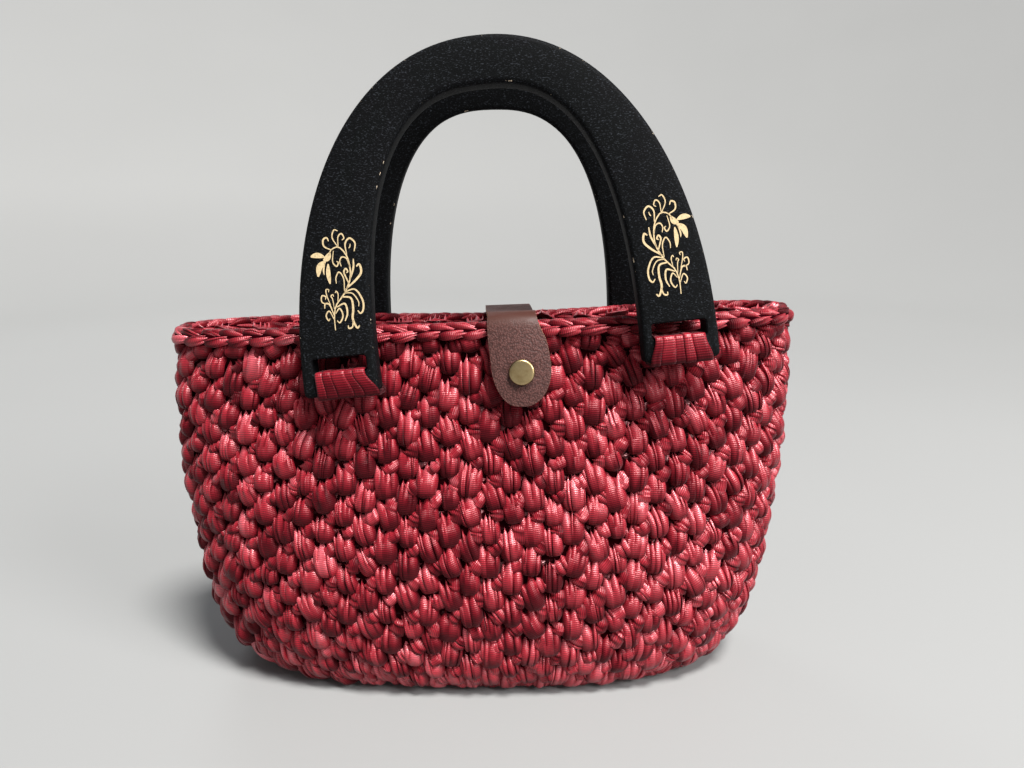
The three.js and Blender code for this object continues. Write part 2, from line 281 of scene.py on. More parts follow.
def satin_grosgrain_ribbon(colours):
    """Woven satin ribbon with cross ribs: soft pink gloss on bends and fine lines. Its colour carries
    painted light: lighter towards the stitches' tips, with painted shade in the tucks, creases and rib
    grooves.
    """
    material, tree = start_material("satin_grosgrain_ribbon")
    tone = add_node(tree, "Attribute", attribute_name="tone")
    tuck = add_node(tree, "Attribute", attribute_name="tuck")
    ribbon = add_node(tree, "UVMap", uv_map="ribbon")
    place = add_node(tree, "SeparateXYZ", {"Vector": (ribbon, "UV")})
    dye_and_painted_light = add_node(tree, "ValToRGB", {"Fac": (tone, "Fac")})
    ramp_stops(dye_and_painted_light, [(0.1, colours.ribbon_dark), (0.52, colours.ribbon), (0.95, colours.ribbon_light)])
    # Fine cross ribs, with painted shade in their grooves.
    ribs = add_node(tree, "Math", {0: (place, "Y"), 1: 2 * math.pi / RIB_PITCH}, operation="MULTIPLY")
    rib_wave = add_node(tree, "Math", {0: (ribs, "Value")}, operation="SINE")
    valleys = {"Value": (rib_wave, "Value"), "From Min": 0.0, "From Max": -1.0, "To Max": 0.65}
    rib_groove_shade = add_node(tree, "MapRange", valleys)
    painted_shade = add_node(tree, "Math", {0: (tuck, "Fac"), 1: (rib_groove_shade, "Result")}, operation="MAXIMUM")
    # Painted shade: the colour darkens to the shade colour in the tucks and in the rib grooves.
    depths = {"Factor": (painted_shade, "Value"), "A": (dye_and_painted_light, "Color"), "B": opaque(colours.ribbon_in_shade)}
    shade = add_node(tree, "Mix", depths, data_type="RGBA")
    lengthwise = add_node(tree, "CombineXYZ", {"X": (place, "X"), "Y": 0.0})
    lines = {"Vector": (lengthwise, "Vector"), "Scale": 1 / FIBRE_PITCH, "Detail": 1.0}
    fibres = add_node(tree, "TexNoise", lines, noise_dimensions="2D")
    weave = {0: (rib_wave, "Value"), 1: 0.4, 2: (fibres, "Fac")}
    height = add_node(tree, "Math", weave, operation="MULTIPLY_ADD")
    bump = add_node(tree, "Bump", {"Height": (height, "Value"), "Strength": 0.45, "Distance": 0.25 * MM})
    brighter = {"Value": (tone, "Fac"), "From Min": 0.2, "To Min": 0.12, "To Max": 1.9}
    gloss = add_node(tree, "MapRange", brighter)
    dull = add_node(tree, "MapRange", {"Value": (tone, "Fac"), "To Min": 0.42, "To Max": 0.27})
    end_material(
        tree,
        {
            "Base Color": (shade, "Result"),
            "Roughness": (dull, "Result"),
            "Specular IOR Level": (gloss, "Result"),
            "Specular Tint": (1.0, 0.6, 0.62, 1.0),
            "Sheen Weight": 0.1,
            "Sheen Roughness": 0.4,
            "Sheen Tint": (1.0, 0.62, 0.66, 1.0),
            "Normal": (bump, "Normal"),
        },
    )
    return material


CORE_MOTTLE = 4  # mm, patches in the painted shade's colour


def ribbon_in_shade(colours):
    """Painted shade: the dark colour of the sheets in the gaps, where hardly any light reaches."""
    material, tree = start_material("ribbon_in_shade")
    place = add_node(tree, "TexCoord")
    mottle = add_node(tree, "TexNoise", {"Vector": (place, "Object"), "Scale": 1 / (CORE_MOTTLE * MM)})
    dye_and_painted_light = add_node(tree, "ValToRGB", {"Fac": (mottle, "Fac")})
    ramp_stops(dye_and_painted_light, [(0.35, colours.ribbon_in_shade), (1, dimmed(colours.ribbon_dark, 0.4))])
    end_material(tree, {"Base Color": (dye_and_painted_light, "Color"), "Roughness": 1.0, "Specular IOR Level": 0.0})
    return material


PORE_SIZE = 0.34  # mm across the grain, pores of the wood under the paint
PORE_STRETCH = 2.4  # times as long along the grain, which runs from leg to leg
WEAR_SIZE = 3.0  # mm, chips along the edges


def black_painted_wood(colours):
    """Brushed black paint over open-pored wood: satin, finely pitted, chipped to bare wood at the edges."""
    material, tree = start_material("black_painted_wood")
    place = add_node(tree, "TexCoord")
    grain = add_node(tree, "Mapping", {"Vector": (place, "Object"), "Scale": (1 / PORE_STRETCH, 1, 1)})
    pits = {"Vector": (grain, "Vector"), "Scale": 1 / (PORE_SIZE * MM), "Detail": 2.0, "Roughness": 0.6}
    pores = add_node(tree, "TexNoise", pits)
    fleck = add_node(tree, "MapRange", {"Value": (pores, "Fac"), "From Min": 0.57, "From Max": 0.72})
    thin_paint = {"Factor": (fleck, "Result"), "A": opaque(colours.paint), "B": opaque(colours.paint_fleck)}
    brushed = add_node(tree, "Mix", thin_paint, data_type="RGBA")
    knocks = {"Vector": (place, "Object"), "Scale": 1 / (WEAR_SIZE * MM), "Detail": 3.0, "Roughness": 0.7}
    chips = add_node(tree, "TexNoise", knocks)
    edge = add_node(tree, "Attribute", attribute_name="edge")
    chance = add_node(tree, "Math", {0: (chips, "Fac"), 1: (edge, "Fac")}, operation="MULTIPLY")
    worn = add_node(tree, "MapRange", {"Value": (chance, "Value"), "From Min": 0.62, "From Max": 0.66})
    wear = {"Factor": (worn, "Result"), "A": (brushed, "Result"), "B": opaque(colours.bare_wood)}
    coat = add_node(tree, "Mix", wear, data_type="RGBA")
    satin = {"Value": (pores, "Fac"), "From Min": 0.3, "From Max": 0.7, "To Min": 0.55, "To Max": 0.75}
    gloss = add_node(tree, "MapRange", satin)
    bump = add_node(tree, "Bump", {"Height": (pores, "Fac"), "Strength": 0.5, "Distance": 0.15 * MM})
    end_material(
        tree,
        {
            "Base Color": (coat, "Result"),
            "Roughness": (gloss, "Result"),
            "Specular IOR Level": 0.05,
            "Normal": (bump, "Normal"),
        },
    )
    return material


INK_MOTTLE = 0.7  # mm, patches of thin ink


def gold_ink(colours):
    """Screen-printed gold ink: cream, dull metallic, a little broken up by the wood's pores."""
    material, tree = start_material("gold_ink")
    place = add_node(tree, "TexCoord")
    patches = {"Vector": (place, "Object"), "Scale": 1 / (INK_MOTTLE * MM), "Detail": 2.0}
    mottle = add_node(tree, "TexNoise", patches)
    tint = add_node(tree, "ValToRGB", {"Fac": (mottle, "Fac")})
    ramp_stops(tint, [(0.3, dimmed(colours.gold_ink, 0.7)), (0.55, colours.gold_ink)])
    end_material(tree, {"Base Color": (tint, "Color"), "Roughness": 0.45, "Metallic": 0.1})
    return material


PEBBLE = 0.7  # mm, pebbles of the leather's grain
RUB_MOTTLE = 6  # mm, patches that are rubbed more


def pebbled_leather(colours):
    """Dyed, embossed leather: fine pebble grain, smooth where it bends, raw and pale at its cut edge."""
    material, tree = start_material("pebbled_leather")
    place = add_node(tree, "TexCoord")
    embossed = {"Vector": (place, "Object"), "Scale": 1 / (PEBBLE * MM)}
    pebbles = add_node(tree, "TexVoronoi", embossed, feature="F1")
    patches = {"Vector": (place, "Object"), "Scale": 1 / (RUB_MOTTLE * MM), "Detail": 3.0}
    mottle = add_node(tree, "TexNoise", patches)
    bend = add_node(tree, "Attribute", attribute_name="bend")
    edge = add_node(tree, "Attribute", attribute_name="edge")
    patchy = {0: (mottle, "Fac"), 1: 0.6, 2: (bend, "Fac")}
    rubbed = add_node(tree, "Math", patchy, operation="MULTIPLY_ADD")
    smoothed = add_node(tree, "Math", {0: (rubbed, "Value"), 1: (bend, "Fac")}, operation="MULTIPLY")
    grain = add_node(tree, "ValToRGB", {"Fac": (pebbles, "Distance")})
    ramp_stops(grain, [(0.2, colours.leather), (0.7, dimmed(colours.leather, 0.45))])
    dyed = {"Factor": (smoothed, "Value"), "A": (grain, "Color"), "B": opaque(colours.leather_light)}
    face = add_node(tree, "Mix", dyed, data_type="RGBA")
    cut = {"Factor": (edge, "Fac"), "A": (face, "Result"), "B": opaque(colours.leather_edge)}
    skin = add_node(tree, "Mix", cut, data_type="RGBA")
    waxed = {"Value": (mottle, "Fac"), "From Min": 0.3, "From Max": 0.7, "To Min": 0.48, "To Max": 0.62}
    gloss = add_node(tree, "MapRange", waxed)
    unworn = add_node(tree, "Math", {0: 1.0, 1: (bend, "Fac")}, operation="SUBTRACT")
    kept = {0: (pebbles, "Distance"), 1: (unworn, "Value")}
    relief = add_node(tree, "Math", kept, operation="MULTIPLY")
    bump = add_node(tree, "Bump", {"Height": (relief, "Value"), "Strength": 0.8, "Distance": -0.25 * MM})
    end_material(
        tree,
        {
            "Base Color": (skin, "Result"),
            "Roughness": (gloss, "Result"),
            "Specular IOR Level": 0.22,
            "Normal": (bump, "Normal"),
        },
    )
    return material


PLY_PITCH = 2.5  # mm between the turns of the thread's plies


def twisted_thread(colours):
    """Waxed sewing thread: two plies, matt."""
    material, tree = start_material("twisted_thread")
    place = add_node(tree, "TexCoord")
    twist = {"Vector": (place, "Object"), "Scale": 1 / (PLY_PITCH * MM)}
    plies = add_node(tree, "TexWave", twist, bands_direction="DIAGONAL")
    bump = add_node(tree, "Bump", {"Height": (plies, "Fac"), "Strength": 0.6, "Distance": 0.1 * MM})
    # Painted shade: the colour is darker in the grooves between the plies.
    tint = add_node(tree, "ValToRGB", {"Fac": (plies, "Fac")})
    ramp_stops(tint, [(0, dimmed(colours.thread, 0.6)), (1, colours.thread)])
    end_material(tree, {"Base Color": (tint, "Color"), "Roughness": 0.7, "Normal": (bump, "Normal")})
    return material


PATINA_SIZE = 3  # mm, patches of the film on the brass


def aged_brass(colours):
    """Stamped brass under a dull brown film, which is cloudy in patches."""
    material, tree = start_material("aged_brass")
    place = add_node(tree, "TexCoord")
    clouds = {"Vector": (place, "Object"), "Scale": 1 / (PATINA_SIZE * MM), "Detail": 4.0, "Roughness": 0.6}
    film = add_node(tree, "TexNoise", clouds)
    tint = add_node(tree, "ValToRGB", {"Fac": (film, "Fac")})
    ramp_stops(tint, [(0.25, colours.brass_dark), (0.6, colours.brass)])
    dull = {"Value": (film, "Fac"), "From Min": 0.3, "From Max": 0.7, "To Min": 0.4, "To Max": 0.28}
    gloss = add_node(tree, "MapRange", dull)
    end_material(tree, {"Base Color": (tint, "Color"), "Metallic": 1.0, "Roughness": (gloss, "Result")})
    return material


FLOOR_MOTTLE = 400  # mm, faint patches of the floor's paint


def matt_floor(colours):
    """Painted board: plain, pale and almost matt."""
    material, tree = start_material("matt_floor")
    place = add_node(tree, "TexCoord")
    patches = {"Vector": (place, "Object"), "Scale": 1 / (FLOOR_MOTTLE * MM), "Detail": 2.0}
    mottle = add_node(tree, "TexNoise", patches)
    tint = add_node(tree, "ValToRGB", {"Fac": (mottle, "Fac")})
    ramp_stops(tint, [(0, dimmed(colours.floor, 0.94)), (1, colours.floor)])
    end_material(tree, {"Base Color": (tint, "Color"), "Roughness": 0.6})
    return material


def finish_of(make):
    """The material that a function above makes, made on its first use."""
    return bpy.data.materials.get(make.__name__) or make(bpy.context.scene.handbag.colours)


# Mesh helpers


def smooth(value):
    """An eased step from 0 to 1."""
    value = np.clip(value, 0, 1)
    return value * value * (3 - 2 * value)


def unit(vectors):
    return vectors / np.linalg.norm(vectors, axis=-1, keepdims=True)


def circle_turns(sides):
    """Angles at equal steps round a circle."""
    return 2 * math.pi * np.arange(sides) / sides


def quarter_arc(x, y, radius, start, steps):
    """Points on a quarter of a circle. Its first angle is a share of half a turn."""
    turns = math.pi * np.linspace(start, start + 0.5, steps)
    return [(x + radius * math.cos(turn), y + radius * math.sin(turn)) for turn in turns]


def running_length(points):
    """How far along a line each of its points lies."""
    return np.concatenate([[0], np.cumsum(np.linalg.norm(np.diff(points, axis=0), axis=1))])


def even_steps(ring, count):
    """A closed ring of points resampled at equal steps, and how far along it each one lies."""
    closed = np.vstack([ring, ring[:1]])
    reach = running_length(closed)
    wanted = np.linspace(0, reach[-1], count, endpoint=False)
    return np.stack([np.interp(wanted, reach, column) for column in closed.T], 1), wanted


def ring_faces(rows, count, start=0, joined=False):
    """Faces between rings of points, row by row. Where they are joined, the last ring meets the first."""
    faces = []
    for row in range(rows if joined else rows - 1):
        low, high = start + row * count, start + (row + 1) % rows * count
        for side in range(count):
            after = (side + 1) % count
            faces.append((low + side, low + after, high + after, high + side))
    return faces


def end_caps(rows, count, start=0):
    """The faces that close the first and the last of some rings."""
    last = start + (rows - 1) * count
    return [tuple(range(start + count - 1, start - 1, -1)), tuple(range(last, last + count))]


def new_mesh(name, points, faces):
    mesh = bpy.data.meshes.new(name)
    mesh.from_pydata(np.asarray(points, dtype=float).reshape(-1, 3).tolist(), [], faces)
    return mesh


def link(name, data):
    """An object of that name in the scene."""
    thing = bpy.data.objects.new(name, data)
    bpy.context.scene.collection.objects.link(thing)
    return thing


def add_piece(mesh, make, node):
    """A piece on the bag's body, named as its mesh is, that stands for a CAD node."""
    piece = link(mesh.name, mesh)
    mesh.materials.append(finish_of(make))
    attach(piece, "root")
    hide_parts(node)


def shade_smooth(mesh):
    mesh.polygons.foreach_set("use_smooth", np.ones(len(mesh.polygons), dtype=bool))
    mesh.update()


def shade_sharp(mesh, sharpest):
    """Smooth shading that stops at edges sharper than an angle."""
    mesh.shade_smooth()
    mesh.set_sharp_from_angle(angle=sharpest)


def face_outwards(mesh):
    shape = bmesh.new()
    shape.from_mesh(mesh)
    bmesh.ops.recalc_face_normals(shape, faces=shape.faces)
    shape.to_mesh(mesh)
    shape.free()


def point_values(mesh, name, values):
    """A named value on each point, for the materials."""
    layer = mesh.attributes.new(name, "FLOAT", "POINT")
    layer.data.foreach_set("value", np.asarray(values, dtype=np.float32).ravel())


def corner_uvs(mesh, name, values):
    layer = mesh.uv_layers.new(name=name)
    layer.data.foreach_set("uv", np.asarray(values, dtype=np.float32).ravel())


def node_points(node):
    """A CAD node's points."""
    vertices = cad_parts[node].data.vertices
    points = np.empty(3 * len(vertices))
    vertices.foreach_get("co", points)
    return points.reshape(-1, 3)


def node_tree(node):
    """A CAD node's faces, ready for casting rays."""
    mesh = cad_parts[node].data
    return BVHTree.FromPolygons([v.co for v in mesh.vertices], [tuple(p.vertices) for p in mesh.polygons])


def cast(tree, start, way):
    """Where a ray first meets a node's faces, and the normal there."""
    hit, normal = tree.ray_cast(Vector(start), Vector(way))[:2]
    if hit is None:
        raise RuntimeError(f"a ray from {tuple(start)} along {tuple(way)} meets nothing")
    return np.array(hit), np.array(normal)


# Rounds of the bag's wall

CASTS = 480  # rays for one round
STEPS = 360  # points kept of them
SMOOTHING_PASSES = 6
FAR = 0.4  # metres, outside the whole bag
WALL_ROUNDS = 36
ROUND_CROWDING = 1.4  # the rounds lie closer together low down, where the wall bends more
FIRST_ROUND = 0.4 * MM  # height of the lowest one
BASE_ROUNDS = 12
BASE_MIDDLE = 1.5 * MM  # half depth of the innermost round of the base
BASE_EDGE = 1.0 * MM  # inset of its outermost round
TOP_MARGIN = 0.0036  # casting stops this far under the wall's top, where the back rim dips
TOP_EXTENSION = 0.012  # the rounds go on past it, under the rim


class RoundMap:
    """A closed wall as rounds of equal steps, so that a place on it is a share of the round and a rise."""

    def __init__(self, points, rises, facing=1):
        self.points = points
        self.rises = rises
        self.facing = facing
        around = np.roll(points, -1, 1) - np.roll(points, 1, 1)
        along = np.gradient(points, axis=0)
        self.normals = unit(facing * np.cross(around, along))
        self.lengths = np.linalg.norm(points - np.roll(points, 1, 1), axis=2).sum(1)

    def length(self, rise):
        return float(np.interp(rise, self.rises, self.lengths))

    def place(self, turn, rise, out):
        """Points at shares of the round, rises along the wall and distances out of it."""
        rounds, steps = self.points.shape[:2]
        row = np.clip(np.interp(rise, self.rises, np.arange(rounds)), 0, rounds - 1.001)
        column = (turn % 1.0) * steps
        low = row.astype(int)
        left = column.astype(int) % steps
        right = (left + 1) % steps
        up_share = (row - low)[..., None]
        right_share = (column - np.floor(column))[..., None]

        def between(grid):
            lower = grid[low, left] * (1 - right_share) + grid[low, right] * right_share
            upper = grid[low + 1, left] * (1 - right_share) + grid[low + 1, right] * right_share
            return lower * (1 - up_share) + upper * up_share

        return between(self.points) + between(self.normals) * out[..., None]

    def rings(self, turns, rises, out):
        """Rings of points at one distance out of the wall."""
        grid_turn, grid_rise = np.meshgrid(np.linspace(0, 1, turns, endpoint=False), rises)
        return self.place(grid_turn, grid_rise, np.full(grid_turn.shape, out))


def rim_slope():
    """How much the rim rises for each metre to the right, from the CAD rim."""
    points = node_points("rim_braid")
    return np.polyfit(points[:, 0], points[:, 2], 1)[0]


def cast_round(tree, level, slope, from_outside):
    """The ring where a tilted plane meets a wall's outer or inner face, its facets' corners smoothed."""
    ring = []
    centre = np.array([0, 0, level])
    for turn in np.linspace(0, 2 * math.pi, CASTS, endpoint=False):
        way = np.array([math.cos(turn), math.sin(turn), slope * math.cos(turn)])
        ring.append(cast(tree, centre + FAR * way, -way)[0] if from_outside else cast(tree, centre, way)[0])
    ring = even_steps(np.array(ring), STEPS)[0]
    for _ in range(SMOOTHING_PASSES):
        ring = (np.roll(ring, 1, 0) + 2 * ring + np.roll(ring, -1, 0)) / 4
    return ring


def bag_map(inside):
    """The rounds from the middle of the base to the top of the wall, outside or inside."""
    tree = node_tree("crochet_body")
    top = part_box("rim_braid")[0][2]
    wall_top = node_points("crochet_body")[:, 2].max() - rim_slope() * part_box("crochet_body")[1][0]
    floor = cast(tree, (0, 0, top / 2), (0, 0, -1))[0][2] if inside else 0.0
    first = floor + FIRST_ROUND
    levels = first + (wall_top - TOP_MARGIN - first) * np.linspace(0, 1, WALL_ROUNDS) ** ROUND_CROWDING
    wall = [cast_round(tree, level, rim_slope() * level / wall_top, not inside) for level in levels]
    edge = wall[0].copy()
    edge[:, 2] = floor
    half = np.abs(edge).max(0)
    insets = np.linspace(half[1] - BASE_MIDDLE, BASE_EDGE, BASE_ROUNDS)
    rounds = [edge * [1 - inset / half[0], 1 - inset / half[1], 1] for inset in insets] + wall
    last = rounds[-1] - rounds[-2]
    rounds.append(rounds[-1] + last * TOP_EXTENSION / np.linalg.norm(last, axis=1).mean())
    rounds = np.array(rounds)
    steps = np.median(np.linalg.norm(np.diff(rounds, axis=0), axis=2), axis=1)
    rises = np.concatenate([[0], np.cumsum(steps)])
    return RoundMap(rounds, rises - rises[BASE_ROUNDS], -1 if inside else 1)


RIM_ANGLES = 40
RIM_SWEEP = (-120, 260)  # degrees from its outer side, more than once round


def rim_map():
    """The rim's surface, with rises that start at its outer side and go up over its top, and its radius."""
    tree = node_tree("rim_braid")
    points = node_points("rim_braid")
    slope = rim_slope()
    level = (points[:, 2] - slope * points[:, 0]).mean()
    outer = cast_round(tree, level, slope, True)
    inner = cast_round(tree, level, slope, False)
    radius = np.median(np.linalg.norm(outer - inner, axis=1)) / 2
    middle = (outer + inner) / 2
    for point in middle:
        point[2] = cast(tree, (point[0], point[1], FAR), (0, 0, -1))[0][2] - radius
    around = np.roll(middle, -1, 0) - np.roll(middle, 1, 0)
    outward = unit(np.stack([around[:, 1], -around[:, 0], np.zeros(STEPS)], 1))
    angles = np.radians(np.linspace(*RIM_SWEEP, RIM_ANGLES))
    rounds = [middle + radius * (math.cos(a) * outward + math.sin(a) * np.array([0, 0, 1])) for a in angles]
    return RoundMap(np.array(rounds), angles * radius), radius


# Ribbon stitches. A pair is the least and the most that is drawn by chance.

BELLY = 0.42  # share of a stitch's height where it stands out most
WIDEST = 0.38  # share of its height where it is widest
FOOT_NARROWING = (0.24, 0.54)
FOOT_POWER = 3.2  # keeps the foot broad until close to its end
TOP_NARROWING = 0.14
FAN = 0.1  # how far the tips spread, as a share of the width
SWAY = 0.04  # sideways bend, as a share of the width
PLEAT_EVENNESS = 5.0
FULL_PLEAT_CHANCE = 0.22  # of a pleat that runs down to the foot
PLEAT_START = (0.15, 0.45)  # share of the height where the others begin
PLEAT_RUN = 0.4  # share of the height over which a pleat opens
TIP_START = 0.8
TIP_PINCH = 0.72
TIP_DROP = (0.07, 0.17)  # of a pleat's sides below its point, as shares of the height
TIP_REACH = (-0.1, 0.04)  # of its point past its neighbours
KNIFE = (0.4, 0.8)  # how far one side of a pleat lies over the next
PLEAT_CROWN = 0.35
PLEAT_ROLL = 0.5  # of its sides, turned under
PLEAT_RELIEF = (0.09, 0.18)  # shares of the depth, as those below
PLEAT_LIFT = (-0.06, 0.06)
BELLY_ROUND = 0.14
SIDE_ROUND = 0.5
TIP_ROUND = 0.3
BEHIND = 1.2 * MM  # a stitch's back line behind its edges
CRISP = 0.3  # a pleat's edges are sharp where it has this share of its depth
STITCH_TONE = (0.46, 0.1)  # mean and spread of the random tone: 0 is the darkest colour, 1 the lightest
PLEAT_TONE = (-0.12, 0.12)
PAINTED_LIGHT_CLIMB = 0.9  # painted light: lighter from the foot to the tips
# Painted shade along the pleats' creases
CREASE_SHADE = 0.25
TUCK_START = 0.3  # shares of the depth where the painted shade in the gaps begins, and over which it grows
TUCK_RUN = 0.6
SIDE_SHADE = 0.35
MOST_SHADE = 0.9
RUN_SHARE = 1.2  # length of ribbon in a stitch to its height
CAP_MARGIN = 0.06  # of a bundle's bake cell, for its end caps
CAP_MIDDLE = 0.027  # of a cap in its margin
CAP_HALF = (0.45, 0.02)  # its half width and half height there
CELL_SHARE = 0.94  # of a bake cell that is used


class RibbonFolds:
    """Closed bundles of pleated ribbon with equal point counts, gathered to be joined into one mesh."""

    def __init__(self, stations, front):
        self.stations = stations
        self.front = front
        self.ring = front + 1
        self.places = []
        self.ribbon = []
        self.tone = []
        self.tuck = []
        self.sides = []

    def faces(self):
        """The faces of one bundle, quads first and then its two end caps."""
        return ring_faces(self.stations, self.ring) + end_caps(self.stations, self.ring)

    def cell(self):
        """Places of one bundle's face corners on a unit square, with its caps in the margins."""
        corners = []
        rows = self.stations - 1
        for row in range(rows):
            for side in range(self.ring):
                for right, up in ((0, 0), (1, 0), (1, 1), (0, 1)):
                    rise = CAP_MARGIN + (1 - 2 * CAP_MARGIN) * (row + up) / rows
                    corners.append(((side + right) / self.ring, rise))
        turns = circle_turns(self.ring)
        across, up = CAP_HALF
        for middle, order in ((CAP_MIDDLE, turns[::-1]), (1 - CAP_MIDDLE, turns)):
            corners.extend((0.5 + across * math.cos(t), middle + up * math.sin(t)) for t in order)
        return np.array(corners) * CELL_SHARE + (1 - CELL_SHARE) / 2


def join_folds(name, groups):
    """One mesh of all the bundles, with their tones and painted light and shade, their ribbon coordinates
    and an even bake layout.
    """
    side = math.ceil(math.sqrt(sum(len(group.places) for group in groups)))
    points, faces, ribbon, layout, tone, tuck, sides = [], [], [], [], [], [], []
    start = cell = 0
    for group in groups:
        fold_faces = group.faces()
        corners = np.concatenate([np.array(face) for face in fold_faces])
        square = group.cell()
        for k, places in enumerate(group.places):
            faces.extend([tuple(start + c for c in face) for face in fold_faces])
            points.append(places.reshape(-1, 3))
            ribbon.append(group.ribbon[k].reshape(-1, 2)[corners])
            layout.append((square + [cell % side, cell // side]) / side)
            tone.append(np.ravel(group.tone[k]))
            tuck.append(np.ravel(group.tuck[k]))
            sides.append(np.ravel(group.sides[k]))
            start += places.shape[0] * places.shape[1]
            cell += 1
    mesh = new_mesh(name, np.concatenate(points), faces)
    corner_uvs(mesh, "OFBake", np.concatenate(layout))
    corner_uvs(mesh, "ribbon", np.concatenate(ribbon))
    point_values(mesh, "tone", np.concatenate(tone))
    point_values(mesh, "tuck", np.concatenate(tuck))
    shade_smooth(mesh)
    crisp_sides(mesh, np.concatenate(sides))
    return mesh


def crisp_sides(mesh, sides):
    """Sharp edges along the sides of the pleats, which join points of the same mark."""
    ends = np.empty(2 * len(mesh.edges), dtype=int)
    mesh.edges.foreach_get("vertices", ends)
    first, second = sides[ends.reshape(-1, 2)].T
    layer = mesh.attributes.new("sharp_edge", "BOOLEAN", "EDGE")
    layer.data.foreach_set("value", (first == second) & (first > 0))


def pleats(rng, count, columns):
    """Across a stitch from -1 to 1: each column's place, its pleat's middle, and its place in the pleat."""
    edges = 2 * np.concatenate([[0], np.cumsum(rng.dirichlet([PLEAT_EVENNESS] * count))]) - 1
    inside = np.tile(np.linspace(-1, 1, columns // count), count)
    middle = np.repeat((edges[:-1] + edges[1:]) / 2, columns // count)
    reach = np.repeat(np.diff(edges) / 2, columns // count)
    return middle + reach * inside, middle, inside


def stitch_outline(up, foot_narrowing):
    """Half width as a share, and how deep the middle lies as a share, at heights from foot to tips."""
    below = up < WIDEST
    away = np.abs(up - WIDEST) / np.where(below, WIDEST, 1 - WIDEST)
    half = 1 - np.where(below, foot_narrowing * away**FOOT_POWER, TOP_NARROWING * away**2)
    lower = np.clip((BELLY - up) / BELLY, 0, 1)
    upper = np.clip((up - BELLY) / (1 - BELLY), 0, 1)
    # The foot bends in gently and then sharply, the top in one even curve.
    return half, 0.22 * lower**2 + 0.78 * lower**7 + 0.5 * upper + 0.5 * upper**2


def work_stitch(folds, surface, rng, place, size, count, tilt, sink=0.0):
    """Adds one stitch of pleated ribbon, its foot down and its pointed tips up, at a place on a surface."""
    turn, rise = place
    width, height, depth = size
    up = np.linspace(0, 1, folds.stations)[:, None]
    share_across, middle, inside = pleats(rng, count, folds.front)
    columns = folds.front // count

    def draw(low, high):
        """A number for each pleat."""
        return np.repeat(rng.uniform(low, high, count), columns)

    start = np.where(draw(0, 1) < FULL_PLEAT_CHANCE, -PLEAT_RUN, draw(*PLEAT_START))
    pleat = smooth((up - start) / PLEAT_RUN)
    tip = smooth((up - TIP_START) / (1 - TIP_START))
    half, deep = stitch_outline(up, rng.uniform(*FOOT_NARROWING))
    pinched = middle + (share_across - middle) * (1 - TIP_PINCH * tip)
    sway = SWAY * width * rng.normal() * np.sin(math.pi * up)
    across = width / 2 * half * pinched + FAN * width * middle * up**2 + sway
    drop = draw(*TIP_DROP) * np.abs(inside) ** 1.4 * smooth((up - 0.5) / 0.5)
    rising = height * (up - 0.5 - drop + draw(*TIP_REACH) * up**3)
    knife = rng.choice((-1, 1)) * draw(*KNIFE)
    fold = PLEAT_CROWN * (1 - inside**2) + knife * inside - PLEAT_ROLL * np.abs(inside) ** 8
    relief = draw(*PLEAT_RELIEF) * fold
    rounding = BELLY_ROUND * pinched**2 + SIDE_ROUND * np.abs(pinched) ** 5 + TIP_ROUND * tip * inside**2
    out = depth * (pleat * (relief + draw(*PLEAT_LIFT)) - deep - rounding) - sink
    behind = (across.mean(1), rising.mean(1), out.min(1) - BEHIND)
    across, rising, out = (np.column_stack(pair) for pair in zip((across, rising, out), behind))
    sideways = across * math.cos(tilt) - rising * math.sin(tilt)
    upwards = across * math.sin(tilt) + rising * math.cos(tilt)
    turns = turn + surface.facing * sideways / surface.length(rise)
    folds.places.append(surface.place(turns, rise + upwards, out))
    weave = np.append(share_across * width / 2, 0) + 0 * up
    run = height * RUN_SHARE * up + np.zeros(folds.ring) + rng.uniform(0, height)
    folds.ribbon.append(np.stack([weave, run], -1) / MM)
    # Random tone with painted light: lighter towards the tips, and painted shade along the creases.
    tone = rng.normal(*STITCH_TONE) + draw(*PLEAT_TONE) + PAINTED_LIGHT_CLIMB * (up - 0.5)
    tone = tone - CREASE_SHADE * pleat * np.abs(inside) ** 5
    folds.tone.append(np.clip(np.column_stack([tone, tone.mean(1)]), 0, 1))
    # Painted shade where the foot tucks in, at the sides, and on the back line.
    painted_shade = smooth((deep - TUCK_START) / TUCK_RUN) * (up < BELLY) + SIDE_SHADE * np.abs(pinched) ** 6
    folds.tuck.append(np.clip(np.column_stack([painted_shade, np.ones(folds.stations)]), 0, MOST_SHADE))
    edges = np.abs(inside) > 0.99
    outer = np.isin(np.arange(folds.front), (0, folds.front - 1))
    marks = np.where((edges & (pleat > CRISP)) | outer, np.arange(1, folds.front + 1), 0)
    folds.sides.append(np.column_stack([marks, np.zeros(folds.stations, dtype=int)]))


PLEAT_COLUMNS = {3: 15, 4: 12, 5: 15}  # columns across a stitch for each count of pleats
PLEAT_CHANCES = (0.4, 0.36, 0.24)
STITCH_STATIONS = 14


class WallPatch:
    """The stitches and knots of one patch of the wall."""

    def __init__(self, name):
        self.name = name
        self.knots = RibbonFolds(stations=8, front=9)
        self.stitches = {}
        for count, columns in PLEAT_COLUMNS.items():
            self.stitches[count] = RibbonFolds(STITCH_STATIONS, columns)

    def settle(self, lowest):
        """Flattens what would reach below the surface that the bag stands on."""
        for folds in self.groups():
            for places in folds.places:
                places[..., 2] = np.maximum(places[..., 2], lowest)

    def groups(self):
        return (*self.stitches.values(), self.knots)


